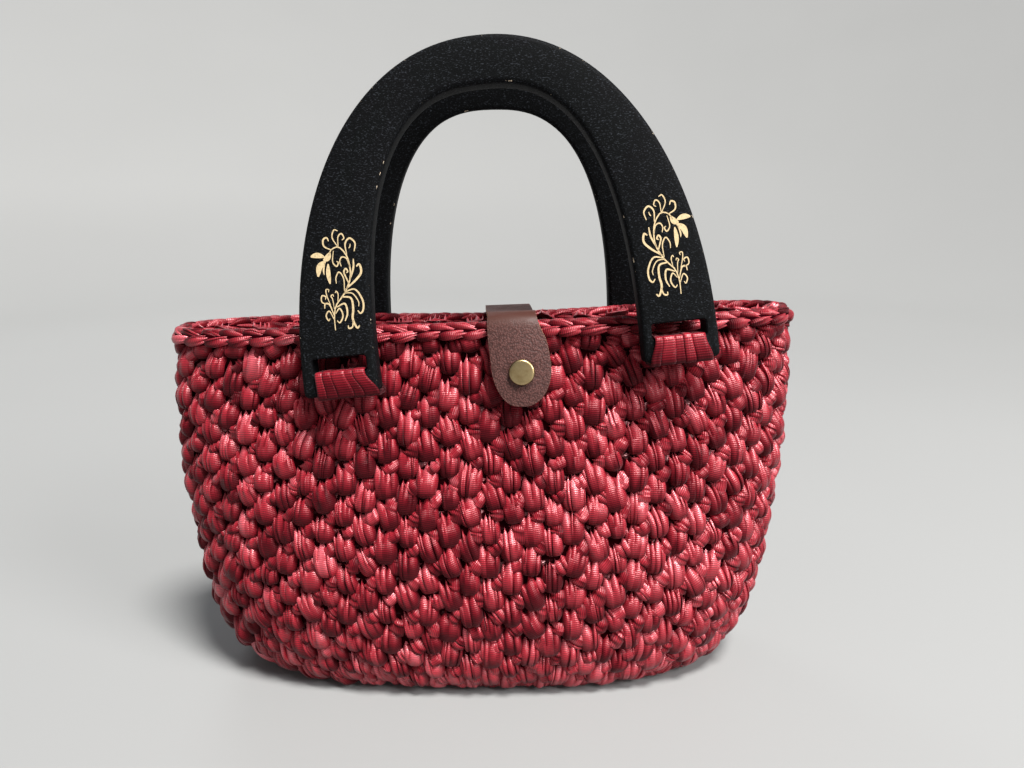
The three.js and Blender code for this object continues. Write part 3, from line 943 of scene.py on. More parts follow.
QUARTERS = ("back_right", "back_left", "front_left", "front_right")
KNOT_PLEATS = 3
KNOT_PLACE = (-5.6 * MM, -2.4 * MM)  # of a knot beside a stitch, across and up
KNOT_DEPTH = 0.7  # share of a stitch's depth
KNOT_WAVER = (0.4 * MM, 0.5 * MM)  # spread of its place, across and up
KNOT_GROWTH = 0.1  # spread of its width and height
KNOT_TILT = (20, 90)  # degrees
KNOT_SINK = (0.2, 0.9)  # mm
TOP_ROW_SHARE = 0.75  # of a stitch's height, for the first round, whose tips end inside the rim
REST = 0.2 * MM  # the lowest ribbon lies this far off the floor
FEWEST = 4  # stitches in the smallest round
WAVER = 0.35 * MM  # spread of the stitches' heights and depths
TURN_WAVER = 0.025  # spread of their places in a round, as a share of the repeat
GROWTH = 0.06  # spread of their sizes
FIRST_ROW = 0.1  # middle of the first round over the wall's top, as a share of a stitch's height
BASE_START = -0.3  # rise under which a round is on the base, as a share of a stitch's height


def top_rise(surface):
    """The rise where the wall itself ends."""
    return surface.rises[-1] - TOP_EXTENSION + TOP_MARGIN


class HANDBAG_OT_crochet_wall(bpy.types.Operator):
    """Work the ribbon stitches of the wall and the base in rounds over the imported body"""

    bl_idname = "handbag.crochet_wall"
    bl_label = "Crochet wall"

    def execute(self, context):
        sizes = context.scene.handbag.stitches
        rng = np.random.default_rng(sizes.seed)
        wall = bag_map(inside=False)
        patches = [WallPatch(f"crochet_{quarter}") for quarter in QUARTERS]
        base = WallPatch("crochet_base")
        first = top_rise(wall) + FIRST_ROW * sizes.height
        rows = int((first - wall.rises[0]) / sizes.row_height)
        repeats = round(wall.length(top_rise(wall) / 2) / sizes.repeat)
        for row in range(rows + 1):
            rise = first - row * sizes.row_height
            on_base = rise < BASE_START * sizes.height
            count = max(round(wall.length(rise) / sizes.repeat), FEWEST) if on_base else repeats
            for column in range(count):
                turn = (column + 0.5 * (row % 2) + rng.normal(0, TURN_WAVER)) / count
                patch = base if on_base else patches[int(4 * (turn % 1.0))]
                tall = sizes.height * (TOP_ROW_SHARE if row == 0 else 1)
                self.work(patch, wall, rng, sizes, turn, rise + rng.normal(0, WAVER), tall)
        for patch in [*patches, base]:
            patch.settle(REST)
            mesh = join_folds(patch.name, patch.groups())
            add_piece(mesh, satin_grosgrain_ribbon, "crochet_body")
        return {"FINISHED"}

    def work(self, patch, wall, rng, sizes, turn, rise, tall):
        """One stitch and the knot at its lower left."""
        grown = rng.normal(1, GROWTH)
        tilt = rng.normal(sizes.lean, sizes.lean_spread)
        count = rng.choice(list(PLEAT_COLUMNS), p=PLEAT_CHANCES)
        size = (sizes.width * grown, tall * grown, sizes.depth)
        sink = rng.normal(0, WAVER)
        work_stitch(patch.stitches[count], wall, rng, (turn, rise), size, count, tilt, sink)
        across = KNOT_PLACE[0] + rng.normal(0, KNOT_WAVER[0])
        place = (turn + across / wall.length(rise), rise + KNOT_PLACE[1] + rng.normal(0, KNOT_WAVER[1]))
        width = sizes.knot_width * rng.normal(1, KNOT_GROWTH)
        height = sizes.knot_height * rng.normal(1, KNOT_GROWTH)
        size = (width, height, sizes.depth * KNOT_DEPTH)
        tilt = math.radians(rng.uniform(*KNOT_TILT))
        sink = rng.uniform(*KNOT_SINK) * MM
        work_stitch(patch.knots, wall, rng, place, size, KNOT_PLEATS, tilt, sink)


INSIDE_ROW = -0.4  # middle of the first round over the wall's top, as a share of a stitch's height
INSIDE_WIDTH = 1.02  # to a stitch's width outside
INSIDE_WAVER = 0.03  # spread of the stitches' places in a round, as a share of the repeat
INSIDE_PLEATS = (2, 3)
CORE_ROUNDS = 30
CORE_TURNS = 120


class HANDBAG_OT_crochet_inside(bpy.types.Operator):
    """Work the flatter stitches inside the bag and the dark sheet of painted shade between the two faces of
    the wall
    """

    bl_idname = "handbag.crochet_inside"
    bl_label = "Crochet inside"

    def execute(self, context):
        sizes = context.scene.handbag.stitches
        rng = np.random.default_rng(sizes.seed + 1)
        lining = bag_map(inside=True)
        folds = RibbonFolds(stations=8, front=6)
        first = top_rise(lining) + INSIDE_ROW * sizes.height
        size = (sizes.width * INSIDE_WIDTH, sizes.height, sizes.inside_depth)
        for row in range(int((first - lining.rises[0]) / sizes.row_height) + 1):
            rise = first - row * sizes.row_height
            count = max(round(lining.length(rise) / sizes.repeat), FEWEST)
            for column in range(count):
                turn = (column + 0.5 * (row % 2) + rng.normal(0, INSIDE_WAVER)) / count
                pleat_count = rng.choice(INSIDE_PLEATS)
                tilt = rng.normal(0, sizes.lean_spread)
                work_stitch(folds, lining, rng, (turn, rise), size, pleat_count, tilt)
        mesh = join_folds("crochet_inside", [folds])
        add_piece(mesh, satin_grosgrain_ribbon, "crochet_body")
        self.core(sizes, bag_map(inside=False))
        return {"FINISHED"}

    def core(self, sizes, wall):
        """A closed sheet inside the wall, seen only as darkness between the stitches."""
        rises = np.linspace(wall.rises[1], wall.rises[-1] - TOP_EXTENSION / 2, CORE_ROUNDS)
        outer = wall.rings(CORE_TURNS, rises, -sizes.core_depth)
        inner = wall.rings(CORE_TURNS, rises, -sizes.core_depth - sizes.core_thickness)
        faces = end_caps(2 * CORE_ROUNDS, CORE_TURNS) + ring_faces(2 * CORE_ROUNDS, CORE_TURNS)
        mesh = new_mesh("crochet_shadow_core", np.concatenate([outer, inner[::-1]]), faces)
        shade_smooth(mesh)
        add_piece(mesh, ribbon_in_shade, "crochet_body")


RIM_CHAINS = (38, 142)  # degrees from the rim's outer side to the middle of each chain
RIM_CORE_SIDES = 12
RIM_CORE_TURNS = 160
LEG_OFFSET = 0.22  # of a leg from its chain's middle, as a share of its width
LEG_PLACE = 0.25  # of a leg along its chain, as a share of the pitch
LEG_WAVER = 0.04  # spread of that place
LEG_GROWTH = (0.08, 0.05)  # spread of a leg's width and of its length
LEG_PLEATS = (2, 3, 4)
SLANT_SPREAD = 0.05  # radians
RIGHTWARDS = -math.pi / 2


class HANDBAG_OT_chain_rim(bpy.types.Operator):
    """Work the chain stitches of the rim, one chain on its outer shoulder and one on its inner"""

    bl_idname = "handbag.chain_rim"
    bl_label = "Chain rim"

    def execute(self, context):
        sizes = context.scene.handbag.rim
        rng = np.random.default_rng(sizes.seed)
        rim, radius = rim_map()
        folds = RibbonFolds(stations=14, front=12)
        count = round(rim.length(0) / sizes.pitch)
        offset = sizes.leg_length / 2 * math.sin(sizes.slant) + LEG_OFFSET * sizes.leg_width
        for degrees in RIM_CHAINS:
            rise = math.radians(degrees) * radius
            for link_number in range(count):
                for side in (1, -1):
                    turn = (link_number + LEG_PLACE * side + rng.normal(0, LEG_WAVER)) / count
                    tilt = RIGHTWARDS - side * (sizes.slant + rng.normal(0, SLANT_SPREAD))
                    width = sizes.leg_width * rng.normal(1, LEG_GROWTH[0])
                    size = (width, sizes.leg_length * rng.normal(1, LEG_GROWTH[1]), sizes.leg_depth)
                    place = (turn, rise + side * offset)
                    work_stitch(folds, rim, rng, place, size, rng.choice(LEG_PLEATS), tilt)
        mesh = join_folds("rim_chain", [folds])
        add_piece(mesh, satin_grosgrain_ribbon, "rim_braid")
        self.core(rim, radius * (1 - sizes.core_share))
        return {"FINISHED"}

    def core(self, rim, depth):
        """A closed ring inside the rim, seen only as darkness between the chains."""
        sweep = np.linspace(0, rim.rises[-1] - rim.rises[0], RIM_CORE_SIDES + 1)[:-1]
        rises = sweep * 360 / np.ptp(RIM_SWEEP) + rim.rises[0]
        rings = rim.rings(RIM_CORE_TURNS, rises, -depth)
        mesh = new_mesh("rim_shadow_core", rings, ring_faces(RIM_CORE_SIDES, RIM_CORE_TURNS, joined=True))
        shade_smooth(mesh)
        add_piece(mesh, ribbon_in_shade, "rim_braid")


# Wooden handles

BOARD_STATIONS = 110
CORNER_STEPS = 5
BOARD_RING = 4 * CORNER_STEPS
ARCH_SAMPLES = 2000
SMALLEST_RADIUS = 0.05 * MM
FOOT_PROBE = 2 * MM  # heights from where the board's inner edge is looked for
ARCH_PROBE = 20 * MM
SHARP = math.radians(40)


class Board:
    """A handle's own frame: its middle on x = 0, its feet on z = 0, its back face on y = 0."""

    def __init__(self, name):
        node = f"handle_{name}"
        self.tree = node_tree(node)
        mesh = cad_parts[node].data
        mesh.calc_loop_triangles()
        points = node_points(node)
        corners = points[[tuple(t.vertices) for t in mesh.loop_triangles]]
        doubled = np.cross(corners[:, 1] - corners[:, 0], corners[:, 2] - corners[:, 0])
        areas = np.linalg.norm(doubled, axis=1) / 2
        # Most of the surface faces to the front or the back, so its mean facing gives the inward way.
        facing = np.einsum("k,ki,kj->ij", 1 / (4 * np.maximum(areas, 1e-12)), doubled, doubled)
        inward = np.linalg.eigh(facing)[1][:, -1]
        inward *= -math.copysign(1, inward @ [0, points[:, 1].mean(), 0])
        # The spread of the triangles' area about its middle gives the way up.
        offsets = corners - (areas @ corners.mean(1) / areas.sum())
        spread = np.einsum("k,kni,knj->ij", areas, offsets, offsets)
        spread += 9 * np.einsum("k,ki,kj->ij", areas, offsets.mean(1), offsets.mean(1))
        up = max(np.linalg.eigh(spread)[1].T, key=lambda way: abs(way[2]))
        up = up * math.copysign(1, up[2])
        self.axes = np.stack([np.cross(inward, up), inward, up], 1)
        local = points @ self.axes
        low, high = local.min(0), local.max(0)
        self.origin = self.axes @ [(low[0] + high[0]) / 2, high[1], low[2]]
        self.half_width = (high[0] - low[0]) / 2
        self.thickness, self.height = (high - low)[1:]

    def to_world(self, points):
        return np.asarray(points) @ self.axes.T + self.origin

    def to_local(self, points):
        return (np.asarray(points) - self.origin) @ self.axes

    def reach(self, start, way):
        """Distance from a place in the board's frame to its surface."""
        hit = cast(self.tree, self.to_world(start), self.axes @ way)[0]
        return np.linalg.norm(hit - self.to_world(start))


def arch(half_width, height, power):
    """A closely stepped arch from its right foot to its left, and how far along it each point lies."""
    turn = np.linspace(0, math.pi, ARCH_SAMPLES)
    x = half_width * np.sign(np.cos(turn)) * np.abs(np.cos(turn)) ** (2 / power)
    z = height * np.clip(np.sin(turn), 0, 1) ** (2 / power)
    return x, z, np.concatenate([[0], np.cumsum(np.hypot(np.diff(x), np.diff(z)))])


def along_arch(curve, shares):
    x, z, reach = curve
    return np.stack([np.interp(shares * reach[-1], reach, x), np.interp(shares * reach[-1], reach, z)], 1)


def rounded_section(width, thickness, radius, inset):
    """Points round a rounded rectangle, across from 0 and out from 0, shrunk by an inset on all sides."""
    radius = max(radius - inset, SMALLEST_RADIUS)
    low, wide, deep = inset + radius, width - inset - radius, thickness - inset - radius
    points = []
    for across, out, start in ((low, -low, 0.5), (low, -deep, 1.0), (wide, -deep, 1.5), (wide, -low, 2.0)):
        points += quarter_arc(across, out, radius, start, CORNER_STEPS)
    return points


def board_mesh(board, sizes):
    """The arched board with rounded edges, still without its slots."""
    middle = -board.thickness / 2
    inner_half = board.reach((0, middle, FOOT_PROBE), np.array([1, 0, 0]))
    inner_height = ARCH_PROBE + board.reach((0, middle, ARCH_PROBE), np.array([0, 0, 1]))
    outer_arch = arch(board.half_width, board.height, sizes.outer_power)
    inner_arch = arch(inner_half, inner_height, sizes.inner_power)
    quarter = np.linspace(0, math.pi / 2, CORNER_STEPS)
    near = sizes.roundover * (1 - np.cos(quarter)) / outer_arch[2][-1]
    between = np.linspace(near[-1], 1 - near[-1], BOARD_STATIONS)[1:-1]
    shares = np.concatenate([near, between, 1 - near[::-1]])
    rounding = sizes.roundover * (1 - np.sin(quarter))
    insets = np.concatenate([rounding, np.zeros(len(between)), rounding[::-1]])
    points = []
    for outer, inner, inset in zip(along_arch(outer_arch, shares), along_arch(inner_arch, shares), insets):
        width = math.hypot(*(outer - inner))
        for across, out in rounded_section(width, board.thickness, sizes.roundover, inset):
            x, z = inner + (outer - inner) * across / width
            points.append((x, out, z))
    faces = end_caps(len(shares), BOARD_RING) + ring_faces(len(shares), BOARD_RING)
    mesh = new_mesh("board", points, faces)
    corner = np.sin(math.pi * np.linspace(0, 1, CORNER_STEPS))
    point_values(mesh, "edge", np.tile(corner, 4 * len(shares)))
    face_outwards(mesh)
    return mesh


def slot_cutter(board, sizes, side):
    """A slot that widens at both faces, so that cutting it out also breaks its edges."""
    chamfer, back = sizes.slot_chamfer, -board.thickness
    layers = ((chamfer, 2 * chamfer), (-chamfer, 0), (back + chamfer, 0), (back - chamfer, 2 * chamfer))
    centre = side * sizes.slot_centre
    middle = sizes.slot_bottom + sizes.slot_height / 2
    wide = sizes.slot_length / 2 - sizes.slot_corner
    high = sizes.slot_height / 2 - sizes.slot_corner
    points = []
    for out, grown in layers:
        for x, z, start in ((wide, high, 0), (-wide, high, 0.5), (-wide, -high, 1), (wide, -high, 1.5)):
            arc = quarter_arc(centre + x, middle + z, sizes.slot_corner + grown, start, CORNER_STEPS)
            points += [(across, out, rise) for across, rise in arc]
    faces = end_caps(len(layers), BOARD_RING) + ring_faces(len(layers), BOARD_RING)
    mesh = new_mesh("slot_cutter", points, faces)
    face_outwards(mesh)
    return mesh


def slotted_board(board, sizes, name):
    """The board with both slots cut, in its place on the bag."""
    wood = link("board", board_mesh(board, sizes))
    tools = [link("slot_cutter", slot_cutter(board, sizes, side)) for side in (-1, 1)]
    for tool in tools:
        cut = wood.modifiers.new("slot", "BOOLEAN")
        cut.operation = "DIFFERENCE"
        cut.object = tool
        cut.solver = "EXACT"
    bpy.context.view_layer.update()
    graph = bpy.context.evaluated_depsgraph_get()
    mesh = bpy.data.meshes.new_from_object(wood.evaluated_get(graph))
    mesh.name = name
    for thing in (wood, *tools):
        bpy.data.objects.remove(thing)
    mesh.transform(Matrix.LocRotScale(Vector(board.origin), Matrix(board.axes.tolist()), None))
    shade_sharp(mesh, SHARP)
    return mesh


# Gold ink ornament on a handle's left leg, in millimetres from its middle: a stem that ends in a bud, with
# tendrils and leaves. Each row is a stroke's widest width and its points.
STEM_FOOT = [(-3.5, -18), (-3.3, -13.4), (-2, -9.1), (1.9, -5.1), (4.9, 0)]
STEM_HEAD = [(5.3, 4.4), (4.5, 8.4), (2, 11.5), (-1, 11), (-2.6, 8.8)]
STEM = (0.75, STEM_FOOT + STEM_HEAD)
TENDRILS = [
    (0.7, [(1.6, 11.6), (-0.2, 15.1), (0.8, 17.7), (2.3, 17.3)]),
    (0.7, [(1.7, 11.6), (2.1, 15.1), (3.6, 16.2), (4.4, 14.6), (3.5, 13.9)]),
    (0.9, [(-1.1, 10.8), (-3.8, 12.3), (-3.9, 14.6), (-2.4, 15.3), (-1.8, 14)]),
    (0.9, [(4.7, 8.6), (4.6, 12.5), (6.6, 14.3), (8.5, 12.4), (7.8, 9.5)]),
    (0.6, [(6.6, 12.3), (6.3, 11.3), (5.8, 10.8)]),
    (0.7, [(-0.4, 10.4), (-1.2, 6.6), (0.1, 4.8), (1, 6.1), (0.3, 6.6)]),
    (0.7, [(5.3, 4), (4.4, 7.2), (2.6, 7.9), (1.6, 6.4), (2, 4.6)]),
    (0.9, [(4.3, -2.2), (3.4, 0.2), (2.7, 2.5), (3.6, 3.7), (4.3, 2.6), (3.6, 2.2)]),
    (0.7, [(2, -4.2), (2.3, 0.2), (0.8, 2.7), (-0.7, 0.8), (-0.8, -1.3)]),
    (1.2, [(2.6, -3.6), (6.8, -0.9), (9.5, 1.8), (9.2, 4.7), (7.9, 4.1)]),
    (1.0, [(4.6, -0.6), (6.6, 3.5), (7.1, 6.9)]),
    (1.0, [(1.9, -4.7), (6.2, -4), (8.7, -8), (8.6, -11.4), (7.3, -12.8), (6.3, -11.7)]),
    (0.6, [(1.7, -5), (5, -5.4), (7, -8.4), (6.9, -10.3)]),
    (1.2, [(0.7, -6.2), (4.2, -7), (4.6, -10.8), (3.9, -14.6), (5.2, -17.9), (6.3, -17.2)]),
    (0.8, [(4, -15), (3.4, -17.4), (1.9, -17.8), (1.8, -16.7)]),
    (1.0, [(-1.8, -9.7), (1.5, -8.8), (2.1, -12.2), (0.8, -15)]),
    (0.8, [(-2.6, -12), (-0.8, -10.3), (0.2, -13), (-1.3, -15.4), (-2.4, -14.6)]),
    (0.8, [(-3.3, -12.6), (-4.6, -8.6), (-6.3, -8.2), (-6.7, -9.8)]),
    (0.7, [(-5.4, -8.4), (-7.5, -7.4), (-7.2, -5.2), (-5.7, -5.6), (-6, -6.6)]),
    (0.6, [(-4.2, -8.8), (-5.2, -5.4), (-5.3, -3.2), (-4.2, -3.2), (-4.4, -4.1)]),
    (0.6, [(-2.9, -10.2), (-3.1, -6.8), (-3.6, -5.6), (-2.8, -5.1), (-2.6, -5.9)]),
    (0.6, [(-1.2, -8), (-0.7, -5.2), (-1.3, -4), (-1.8, -4.6)]),
    (0.7, [(-3.5, -14), (-5, -10.9), (-6.5, -12.4), (-5.8, -14.3), (-5.1, -13.6)]),
]
LEAVES = [
    (2.7, [(-4.2, 8.6), (-6.9, 9.4), (-9.6, 9.2)]),
    (3.2, [(-4, 7), (-6.6, 5.2), (-7.7, 1.8)]),
    (2.4, [(-3.1, 6), (-3.5, 2.4), (-3.3, -1.2)]),
    (3.0, [(-1.8, 10), (-3, 8.2), (-4.8, 7.4)]),
    (0.9, [(-4.3, 6.6), (-5.2, 4), (-5.2, 2.2)]),
]
STEM_TIP = 0.6  # width of a stroke's ends, as a share of its widest
TENDRIL_TIP = 0.45
LEAF_TIP = 0.12
ORNAMENT_SQUEEZE = 0.91  # keeps its width on the leg's flat face
STROKE_STATIONS = 22
STROKE_SIDES = 4
PEN_SHARE = 0.72  # of the widths above, for the fine lines that the print has
INK_SINK = 0.02 * MM  # the ink's lower face, just inside the paint


def curve_through(points, count):
    """Evenly many points on a smooth curve through a few."""
    points = np.array(points, dtype=float)
    padded = np.vstack([2 * points[0] - points[1], points, 2 * points[-1] - points[-2]])
    place = np.linspace(0, len(points) - 1.0001, count)
    index = place.astype(int)
    t = (place - index)[:, None]
    before, start, end, after = (padded[index + k] for k in range(4))
    bend = 2 * before - 5 * start + 4 * end - after
    return start + 0.5 * t * (end - before + t * (bend + t * (3 * (start - end) + after - before)))


def ink_stroke(points, width, tip):
    """A flat closed stroke of ink as (x, z, layer) rings. Its ends are a tip share of its width."""
    line = curve_through(points, STROKE_STATIONS)
    way = unit(np.gradient(line, axis=0))
    across = np.stack([-way[:, 1], way[:, 0]], 1)
    swell = tip + (1 - tip) * np.sin(math.pi * np.linspace(0.02, 0.98, STROKE_STATIONS)) ** 0.8
    edge = across * (width / 2 * swell)[:, None]
    rings = []
    for left, right in zip(line + edge, line - edge):
        rings.append([(*left, 0), (*right, 0), (*right, 1), (*left, 1)])
    return np.array(rings)


def ornament_mesh(board, sizes, name):
    """The ornament on both legs of a handle, mirrored, on its outward face."""
    strokes = [(STEM, STEM_TIP)]
    strokes += [(row, TENDRIL_TIP) for row in TENDRILS]
    strokes += [(row, LEAF_TIP) for row in LEAVES]
    points, faces = [], []
    for side in (-1, 1):
        for (width, line), tip in strokes:
            stroke = (STROKE_STATIONS, STROKE_SIDES, len(points))
            faces += end_caps(*stroke) + ring_faces(*stroke)
            for x, z, layer in ink_stroke(line, PEN_SHARE * width, tip).reshape(-1, 3):
                out = INK_SINK - layer * (INK_SINK + sizes.ink_thickness)
                place = side * (sizes.ornament_centre - ORNAMENT_SQUEEZE * x * MM) + sizes.ornament_shift
                points.append((place, out - board.thickness, sizes.ornament_height + z * MM))
    mesh = new_mesh(name, board.to_world(points), faces)
    face_outwards(mesh)
    return mesh


class HANDBAG_OT_wooden_handles(bpy.types.Operator):
    """Shape both painted handles and print their gold ornament"""

    bl_idname = "handbag.wooden_handles"
    bl_label = "Wooden handles"

    def execute(self, context):
        sizes = context.scene.handbag.handles
        for name in ("front", "back"):
            board = Board(name)
            node = f"handle_{name}"
            wood = slotted_board(board, sizes, f"{node}_board")
            add_piece(wood, black_painted_wood, node)
            add_piece(ornament_mesh(board, sizes, f"{node}_ornament"), gold_ink, node)
        return {"FINISHED"}


# Ribbon loops

LOOP_STATIONS = 56
LOOP_FRONT = 7  # points across the outer face of a ribbon
LOOP_RING = LOOP_FRONT + 2
LOOP_BACK = 0.8  # half width of its inner face, as a share
LOOP_CORNER = 1.5 * MM
LOOP_CORNER_STEPS = 6
LOOP_SHADE = 0.12  # share of a loop's height, its lower bend in painted shade
LOOP_TUCK_SHADE = 0.75
LOOP_TONE = (0.2, 0.06)  # mean and spread, darker than the wall's stitches as painted shade
LOOP_PAINTED_LIGHT_CLIMB = 0.4
LOOP_DRIFT = {"ribbon_loop_front_left": 2.4 * MM}  # to the right, at the foot of a loop pulled askew
RIBBON_EVENNESS = 8
RIBBON_OVERLAP = 1.06
RIPPLE = 4 * MM  # length of ribbon to one radian of its ripples
CREASE_DEPTH = 0.35  # share of the thickness
CREASE_WIDTH = 0.2  # share of the half width
CREASE_PLACE = (-0.5, 0.5)  # shares of the half width
LOOP_CROWN = 0.55  # how far a ribbon's sides lie under its middle, as a share of its lift
LIFT_SPREAD = 0.25
RIPPLE_DEPTH = 0.25  # share of the lift
SHADE_TOP = 0.7  # share of a loop's height under which it has painted shade


def loop_path(low, high):
    """Places and outward ways round a loop's rounded side view, in y and z, and how far along they lie."""
    near, far = low + LOOP_CORNER, high - LOOP_CORNER
    middles = ((far[1], far[2], 0), (near[1], far[2], 0.5), (near[1], near[2], 1), (far[1], near[2], 1.5))
    outline = []
    for y, z, start in middles:
        outline += quarter_arc(y, z, LOOP_CORNER, start, LOOP_CORNER_STEPS)
    path, run = even_steps(np.array(outline), LOOP_STATIONS)
    way = unit(np.roll(path, -1, 0) - np.roll(path, 1, 0))
    return path, np.stack([way[:, 1], -way[:, 0]], 1), run


def loop_mesh(board, node, sizes, foot, rng):
    """Ribbons side by side round a handle's foot, each a closed band with a soft crease."""
    local = board.to_local(node_points(node))
    inset = sizes.ribbon_thickness / 2
    low, high = local.min(0) + inset, local.max(0) - inset
    path, outward, run = loop_path(low, high)
    below = smooth((foot - path[:, 1]) / foot)
    climb = (path[:, 1] - low[2]) / (high[2] - low[2])
    centre_line = (low[0] + high[0]) / 2 + LOOP_DRIFT.get(node, 0) * below
    width = sizes.top_width + sizes.flare * below
    edges = np.concatenate([[0], np.cumsum(rng.dirichlet([RIBBON_EVENNESS] * sizes.ribbons))])
    spread = np.linspace(-1, 1, LOOP_FRONT)
    points, faces, ribbon = [], [], []
    for k in range(sizes.ribbons):
        left, right = (centre_line + width * (edges[j] - 0.5) for j in (k, k + 1))
        centre, half = (left + right) / 2, (right - left) / 2 * RIBBON_OVERLAP
        crease = rng.uniform(*CREASE_PLACE)
        swell = 1 + rng.normal(0, LIFT_SPREAD)
        lift = inset * (swell + RIPPLE_DEPTH * np.sin(run / RIPPLE + rng.uniform(0, 6)))
        faces += ring_faces(LOOP_STATIONS, LOOP_RING, len(points), joined=True)
        for s in range(LOOP_STATIONS):
            across = centre[s] + half[s] * np.append(spread, [LOOP_BACK, -LOOP_BACK])
            dent = CREASE_DEPTH * np.exp(-(((spread - crease) / CREASE_WIDTH) ** 2)) * (0.4 + below[s])
            out = lift[s] * np.append(1 - LOOP_CROWN * spread**4 - dent, [-1, -1])
            y = path[s, 0] + outward[s, 0] * out
            z = path[s, 1] + outward[s, 1] * out
            points.extend(np.stack([across, y, z], 1))
            for side in range(LOOP_RING):
                for step, edge in ((s, side), (s, side + 1), (s + 1, side + 1), (s + 1, side)):
                    ribbon.append((edge * half[s] * 2 / LOOP_FRONT / MM, step * (run[1] - run[0]) / MM))
    mesh = new_mesh(f"{node}_ribbons", board.to_world(points), faces)
    corner_uvs(mesh, "ribbon", ribbon)
    # Random tone with painted light: lighter towards the loop's top.
    tone = rng.normal(*LOOP_TONE, (sizes.ribbons, 1)) + LOOP_PAINTED_LIGHT_CLIMB * (climb - 0.5)
    point_values(mesh, "tone", np.repeat(np.clip(tone, 0, 1), LOOP_RING))
    # Painted shade on the back layer and the lower bend.
    behind = smooth((path[:, 0] - low[1]) / LOOP_CORNER)
    shaded = np.maximum(behind, smooth((LOOP_SHADE - climb) / LOOP_SHADE)) * (climb < SHADE_TOP)
    point_values(mesh, "tuck", np.tile(np.repeat(LOOP_TUCK_SHADE * shaded, LOOP_RING), sizes.ribbons))
    face_outwards(mesh)
    shade_smooth(mesh)
    return mesh


class HANDBAG_OT_ribbon_loops(bpy.types.Operator):
    """Pass the ribbon loops through the handles' slots"""

    bl_idname = "handbag.ribbon_loops"
    bl_label = "Ribbon loops"

    def execute(self, context):
        sizes = context.scene.handbag.loops
        foot = context.scene.handbag.handles.slot_bottom
        rng = np.random.default_rng(sizes.seed)
        for name in ("front", "back"):
            board = Board(name)
            for word in ("left", "right"):
                node = f"ribbon_loop_{name}_{word}"
                mesh = loop_mesh(board, node, sizes, foot, rng)
                add_piece(mesh, satin_grosgrain_ribbon, node)
        return {"FINISHED"}


# Leather tab and snap

CUT_EDGE = math.radians(60)  # edges that are sharper than this are rounded
TAB_SHARP = math.radians(55)
EDGE_FACING = 0.75  # a point that faces less than this share out of the strap is on its cut edge
EDGE_FADE = 0.35
MERGE = 0.01 * MM
BEND_REACH = 9 * MM  # height of the tab's rubbed bend under its top
BEND_BACK = 2 * MM  # behind the bag's middle, where the rubbed bend has faded
BEND_FADE = 14 * MM
BACK_RUB = 0.35  # share of the rub that is left there
HANG_REACH = 4 * MM  # below the bend, from where the tab hangs straight
TAPER_REACH = 11 * MM  # height under its top from where its right edge is drawn in
TAPER_END = 19 * MM  # behind the bag's middle, where that ends
TAPER_RUN = 37 * MM  # from the front bend to there


def tab_mesh(sizes):
    """The strap with its cut edges rounded, and marks for its edges and its bend."""
    shape = bmesh.new()
    shape.from_mesh(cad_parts["leather_tab"].data)
    bmesh.ops.remove_doubles(shape, verts=shape.verts, dist=MERGE)
    cut = [e for e in shape.edges if len(e.link_faces) == 2 and e.calc_face_angle() > CUT_EDGE]
    radius = sizes.edge_radius
    bmesh.ops.bevel(
        shape, geom=cut, offset=radius, segments=3, profile=0.5, affect="EDGES", clamp_overlap=True
    )
    mesh = bpy.data.meshes.new("leather_tab_strap")
    shape.to_mesh(mesh)
    shape.free()
    shade_sharp(mesh, TAB_SHARP)
    points = np.array([v.co for v in mesh.vertices])
    normals = np.array([v.normal for v in mesh.vertices])
    top = points[:, 2].max()
    climb = smooth((points[:, 2] - top + TAPER_REACH) / TAPER_REACH)
    ahead = smooth((TAPER_END - points[:, 1]) / TAPER_RUN)
    rightness = (points[:, 0] - points[:, 0].min()) / np.ptp(points[:, 0])
    points[:, 0] -= sizes.taper * climb * ahead * rightness
    mesh.vertices.foreach_set("co", points.ravel())
    mesh.update()
    hanging = points[:, 2] < top - BEND_REACH - HANG_REACH
    flat = np.where(hanging, np.abs(normals[:, 1]), np.hypot(normals[:, 1], normals[:, 2]))
    point_values(mesh, "edge", smooth((EDGE_FACING - flat) / EDGE_FADE))
    front = BACK_RUB + (1 - BACK_RUB) * smooth((BEND_BACK - points[:, 1]) / BEND_FADE)
    point_values(mesh, "bend", front * smooth((points[:, 2] - top + BEND_REACH) / BEND_REACH))
    return mesh


THREAD_SIDES = 8
THREAD_STATIONS = 7
SEAM_ROWS = (4 * MM, 9 * MM)  # heights over the tab's back end
SEAM_MARGIN = 4 * MM  # bare width beside a row, both sides together
BACK_END = 6 * MM  # height of the tab's back end that its width is taken from
THREAD_RISE = 1.6  # of a stitch's middle over its ends, in radii
THREAD_NECK = 0.6  # radius of its ends, as a share


def thread_stitch(start, end, outward, radius):
    """Rings of a short tube between two holes, with its ends sunk in the leather."""
    sideways = np.cross(outward, unit(end - start))
    turns = circle_turns(THREAD_SIDES)
    circle = np.outer(np.cos(turns), sideways) + np.outer(np.sin(turns), outward)
    rings = []
    for along in np.linspace(0, 1, THREAD_STATIONS):
        swell = math.sin(math.pi * along)
        middle = start + (end - start) * along + outward * radius * (THREAD_RISE * swell**0.5 - 1)
        rings.append(middle + radius * (THREAD_NECK + (1 - THREAD_NECK) * swell) * circle)
    return rings


